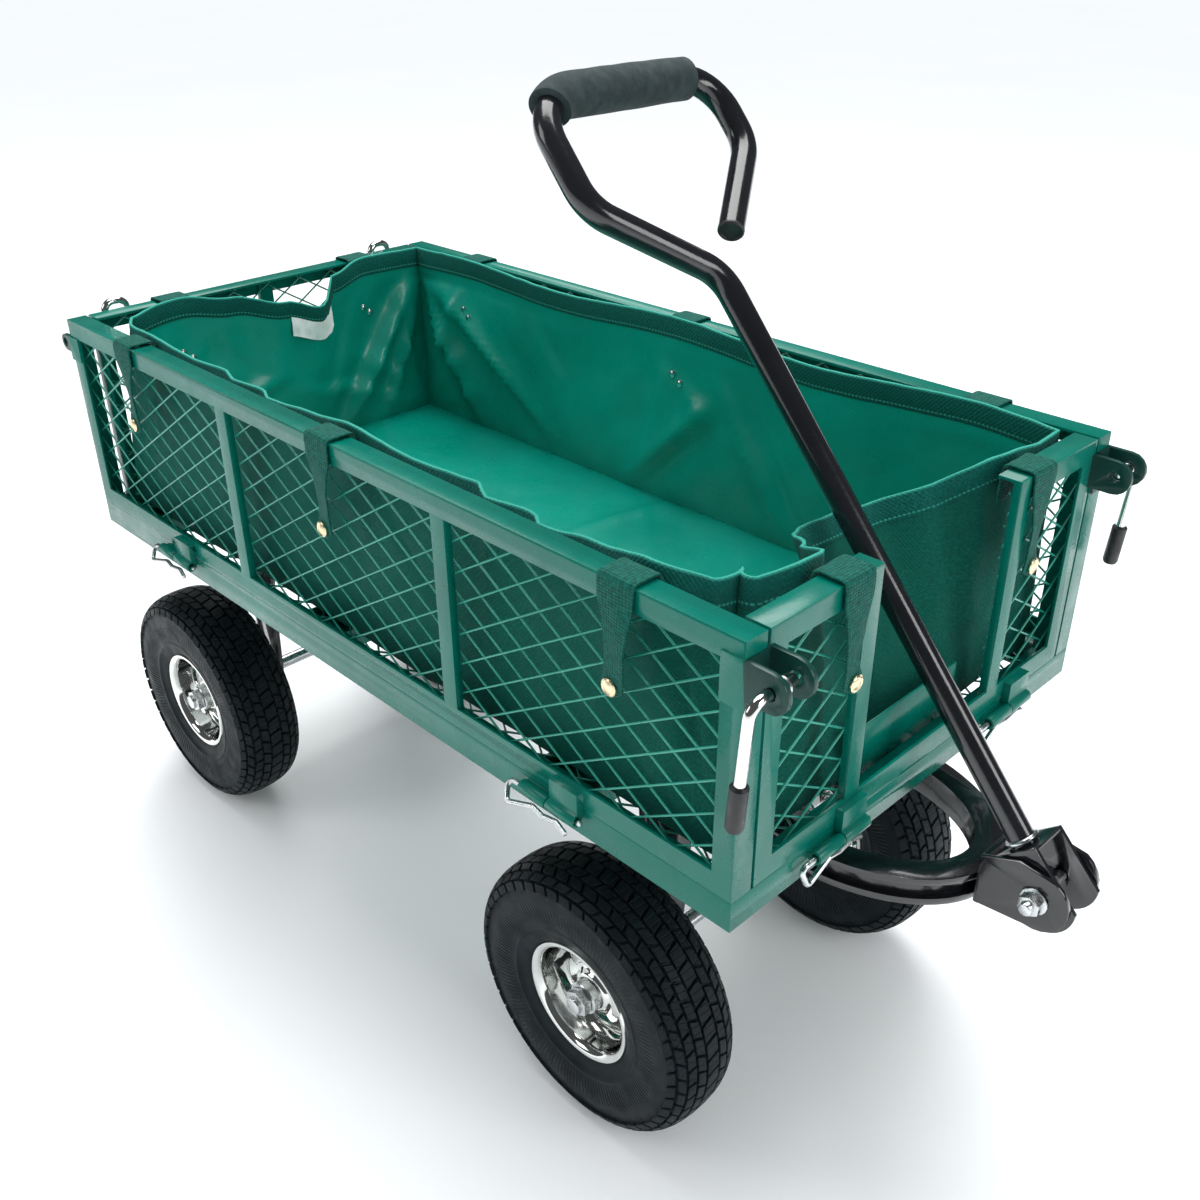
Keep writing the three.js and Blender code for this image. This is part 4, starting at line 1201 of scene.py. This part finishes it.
class LinerShape:
    """The liner's surface: a floor grid, and wall rings that rise from its edge."""

    def __init__(self, low, high):
        self.centre = (low + high) / 2
        self.half = (high - low) / 2 - Vector((0.0012, 0.0012, 0))
        self.base = low.z + 0.0022
        self.tall = high.z + HEM_RISE - self.base
        self.across, self.along = 58, 120
        rng = random.Random(11)
        self.folds = {}
        for wall, half, straps_there in (
            ("right", self.half.x, SIDE_STRAPS), ("left", self.half.x, SIDE_STRAPS),
            ("front", self.half.y, END_STRAPS), ("rear", self.half.y, END_STRAPS),
        ):
            self.folds[wall] = wall_folds(2 * half, straps_there, rng) + BIG_FOLDS.get(wall, [])

    def plan(self, i, j):
        half = self.half
        return -half.x + 2 * half.x * i / self.along, -half.y + 2 * half.y * j / self.across

    def wall_point(self, wall, place, half, share):
        """How far in and how high the cloth is, from a wall's foot (share 0) to its hem (share 1)."""
        lean, drop = along_hem(wall, place)
        spot = Vector((place, share * self.tall))
        calm = math.sin(math.pi * min(1.0, share * 1.15 + 0.02)) ** 0.5 if share < 0.86 else 0.35
        side = 1 - 0.85 * max(0.0, 1 - (half - abs(place)) / 0.03)
        wrinkle = sum(fold.at(spot) for fold in self.folds[wall])
        seed = len(wall) * 3.1
        billow = 0.0080 * noise.noise(Vector((place * 7, share * 1.3, seed)))
        crumple = 0.0032 * noise.noise(Vector((place * 24, share * 4.6, seed + 5)))
        inward = lean * share ** LEAN_CURVE[wall] + calm * side * (wrinkle + billow + crumple) + 0.0012
        return max(inward, 0.0), share * (self.tall - drop)

    def pulled(self, wall, corner, from_corner, share):
        """How far the next wall's lean draws in a point near their corner."""
        near = max(0.0, 1 - from_corner / CORNER_PULL)
        return along_hem(wall, corner)[0] * share ** LEAN_CURVE[wall] * near ** 1.6

    def boundary(self, i, j, share):
        """The wall ring's point over the floor grid's edge point (i, j)."""
        x, y = self.plan(i, j)
        half = self.half
        on_side, on_end = j in (0, self.across), i in (0, self.along)
        in_x = in_y = 0.0
        heights = []
        if on_side:
            in_y, height = self.wall_point("left" if j else "right", x, half.x, share)
            heights.append(height)
        if on_end:
            in_x, height = self.wall_point("front" if i else "rear", y, half.y, share)
            heights.append(height)
        if on_side and not in_x:
            corner = math.copysign(half.y, y)
            in_x = self.pulled("front" if x > 0 else "rear", corner, half.x - abs(x), share)
        if on_end and not in_y:
            corner = math.copysign(half.x, x)
            in_y = self.pulled("right" if y < 0 else "left", corner, half.y - abs(y), share)
        px, py = x - math.copysign(in_x, x), y - math.copysign(in_y, y)
        return Vector((self.centre.x + px, self.centre.y + py, self.base + sum(heights) / len(heights)))

    def floor_point(self, i, j):
        """A point of the floor, with the creases that packing it flat has left."""
        x, y = self.plan(i, j)
        rise = 0.0016 + 0.0016 * noise.noise(Vector((x * 9, y * 9, 3)))
        rise += 0.0045 * math.exp(-abs(x + 0.012 * math.sin(y * 20)) / 0.006)
        rise += 0.0030 * math.exp(-abs(y - 0.35 * x + 0.10) / 0.005) * (abs(x) < 0.32)
        rise += 0.0022 * math.exp(-abs(y + 0.9 * x - 0.16) / 0.005) * (x > 0)
        calm = min(1.0, (self.half.x - abs(x)) / 0.03, (self.half.y - abs(y)) / 0.03)
        return Vector((self.centre.x + x, self.centre.y + y, self.base + rise * max(0.0, calm)))

    def rings(self):
        """The places on the floor's edge in order, and the heights of the wall rings as shares."""
        nx, ny = self.along, self.across
        edge = [(i, 0) for i in range(nx)] + [(nx, j) for j in range(ny)]
        edge += [(i, ny) for i in range(nx, 0, -1)] + [(0, j) for j in range(ny, 0, -1)]
        hem = 1 - HEM_WIDTH / self.tall
        shares = [k / WALL_RINGS for k in range(1, WALL_RINGS - 3)]
        return edge, [s for s in shares if s < hem - 0.02] + [hem, (1 + hem) / 2, 1.0]

    def surface(self):
        """All points and faces, and the wall's rows of points from its foot up."""
        nx, ny = self.along, self.across
        edge, shares = self.rings()
        points, faces, index = [], [], {}
        for j in range(ny + 1):
            for i in range(nx + 1):
                index[i, j] = len(points)
                on_edge = i in (0, nx) or j in (0, ny)
                points.append(self.boundary(i, j, 0.0) if on_edge else self.floor_point(i, j))
        for j in range(ny):
            for i in range(nx):
                faces.append((index[i, j], index[i + 1, j], index[i + 1, j + 1], index[i, j + 1]))
        rows = [[index[spot] for spot in edge]]
        for share in shares:
            rows.append(list(range(len(points), len(points) + len(edge))))
            points += [self.boundary(i, j, share) for i, j in edge]
        for lower, upper in zip(rows, rows[1:]):
            for k in range(len(edge)):
                after = (k + 1) % len(edge)
                faces.append((lower[after], lower[k], upper[k], upper[after]))
        return points, faces, rows


def liner():
    low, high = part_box("liner")
    shape = LinerShape(low, high)
    points, faces, rows = shape.surface()
    obj = liner_sheet("liner_cloth", points, faces, shape.base, shape.tall)
    hem = liner_hem(obj, rows)
    obj.data.materials.append(OUTSIDE)
    obj.data.materials.append(INSIDE)
    thicken(obj, CLOTH, 1)
    apply_all(obj)
    finish_piece(obj, "cart", None, ["liner"], 75)
    sewn = [hem, *wall_rivets(low, high), blank_tag(low, high)]


def liner_sheet(name, points, faces, base, tall):
    """The cloth's map runs in metres: along the wall, and down from the hem."""
    mesh = bpy.data.meshes.new(name)
    mesh.from_pydata([tuple(p) for p in points], [], faces)
    layer = mesh.uv_layers.new(name="cloth")
    for face in mesh.polygons:
        sideways = abs(face.normal.x) > abs(face.normal.y)
        flat = abs(face.normal.z) > 0.75
        for loop in face.loop_indices:
            co = mesh.vertices[mesh.loops[loop].vertex_index].co
            if flat:
                layer.data[loop].uv = (co.x, co.y + 1)
            else:
                layer.data[loop].uv = (co.y if sideways else co.x, base + tall - co.z)
    obj = bpy.data.objects.new(name, mesh)
    bpy.context.scene.collection.objects.link(obj)
    face_out(obj)
    return obj


def liner_hem(obj, rows):
    """The turned and stitched hem: a strip folded over the cloth's top edge, thicker than the cloth."""
    mesh = obj.data
    top, half, foot = rows[-1], rows[-2], rows[-3]
    count = len(top)
    points, faces, marks = [], [], []
    travelled = 0.0
    for k in range(count + 1):
        spots = [mesh.vertices[row[k % count]].co for row in (top, half, foot)]
        if k:
            travelled += (spots[0] - mesh.vertices[top[k - 1]].co).length
        crown = (spots[0] - spots[1]).normalized() * 0.0008
        ripple = 0.0006 * noise.noise(spots[0] * 70)
        points += [spots[0] + crown + Vector((0, 0, ripple)), spots[1], spots[2]]
        marks += [(travelled, 0.0), (travelled, HEM_WIDTH / 2), (travelled, HEM_WIDTH)]
    for k in range(count):
        for row in range(2):
            a = k * 3 + row
            faces.append((a, a + 3, a + 4, a + 1))
    hem = cloth_piece("liner_hem", points, faces, marks)
    face_out(hem, 0.00005)
    thicken(hem, CLOTH + 0.0016)
    break_edges(hem, 0.0007, 55)
    apply_all(hem)
    return finish_piece(hem, "cart", HEM, (), 60)


def rivet_shape():
    head = [(0, 0), (0.0036, 0), (0.0040, 0.0006), (0.0034, 0.0013), (0.0016, 0.0017), (0, 0.0018)]
    return turned("rivet_shape", head, steps=16)


def wall_rivets(low, high):
    """Pairs of eyelet rivets through the liner's walls, opposite the straps' snaps."""
    shape = rivet_shape()
    made = []
    height = high.z - 0.062
    centre = (low + high) / 2
    walls = {
        "left": (Vector((0, -1, 0)), Vector((1, 0, 0)), high.y, SIDE_STRAPS[:2]),
        "right": (Vector((0, 1, 0)), Vector((1, 0, 0)), -low.y, SIDE_STRAPS),
        "rear": (Vector((1, 0, 0)), Vector((0, 1, 0)), -low.x, END_STRAPS),
    }
    for wall, (inward, across, reach, places) in walls.items():
        for number, place in enumerate(places):
            for step, rise in ((-0.005, 0.004), (0.005, -0.004)):
                spot = across * (centre.dot(across) + place + step) - inward * (reach - 0.0058)
                spot.z = height + rise
                rivet = copied(shape, f"liner_rivet_{wall}_{number}_{'lower' if rise < 0 else 'upper'}")
                rivet.data.transform(Matrix.Translation(on_cloth(spot, inward)) @ facing_along(inward))
                made.append(finish_piece(rivet, "cart", ZINC, (), 40))
    bpy.data.objects.remove(shape)
    return made


def on_cloth(spot, inward):
    """The place on the cloth's inner side that is met by looking out at it from the cart's middle."""
    cloth = bpy.data.objects["liner_cloth"]
    start = spot + inward * 0.12
    hit, place = cloth.ray_cast(start, -inward)[:2]
    return place + inward * 0.0001 if hit else spot


def blank_tag(low, high):
    """A plain white satin label sewn under the rear hem, with nothing printed on it."""
    points, faces, marks = [], [], []
    start, wide, tall = 0.006, 0.056, 0.022
    for j in range(7):
        for i in range(15):
            y = start + wide * i / 14
            drop = along_hem("rear", y)[1]
            z = high.z + 0.004 - drop - HEM_WIDTH * 0.86 - tall * j / 6
            spot = on_cloth(Vector((low.x, y, z)), Vector((1, 0, 0)))
            lift = 0.0010 + 0.0022 * (j / 6) * (1 + math.sin(i * 0.55))
            points.append(spot + Vector((lift, 0, 0)))
            marks.append((y, z))
    for j in range(6):
        for i in range(14):
            a = j * 15 + i
            faces.append((a, a + 15, a + 16, a + 1))
    tag = cloth_piece("blank_liner_tag", points, faces, marks)
    thicken(tag, 0.0007)
    apply_all(tag)
    return finish_piece(tag, "cart", TAG, (), 60)


# ---- The whole cart ------------------------------------------------------------------------------
camera()
floor()
studio()
frames()
wire_panels()
wheels()
for latch_place in PLACES[:2]:
    front_latch(latch_place)
for latch_place in PLACES[2:]:
    rear_latch(latch_place)
for pin_place in PINS:
    hinge_clip(pin_place)
straps()
handle()
liner()
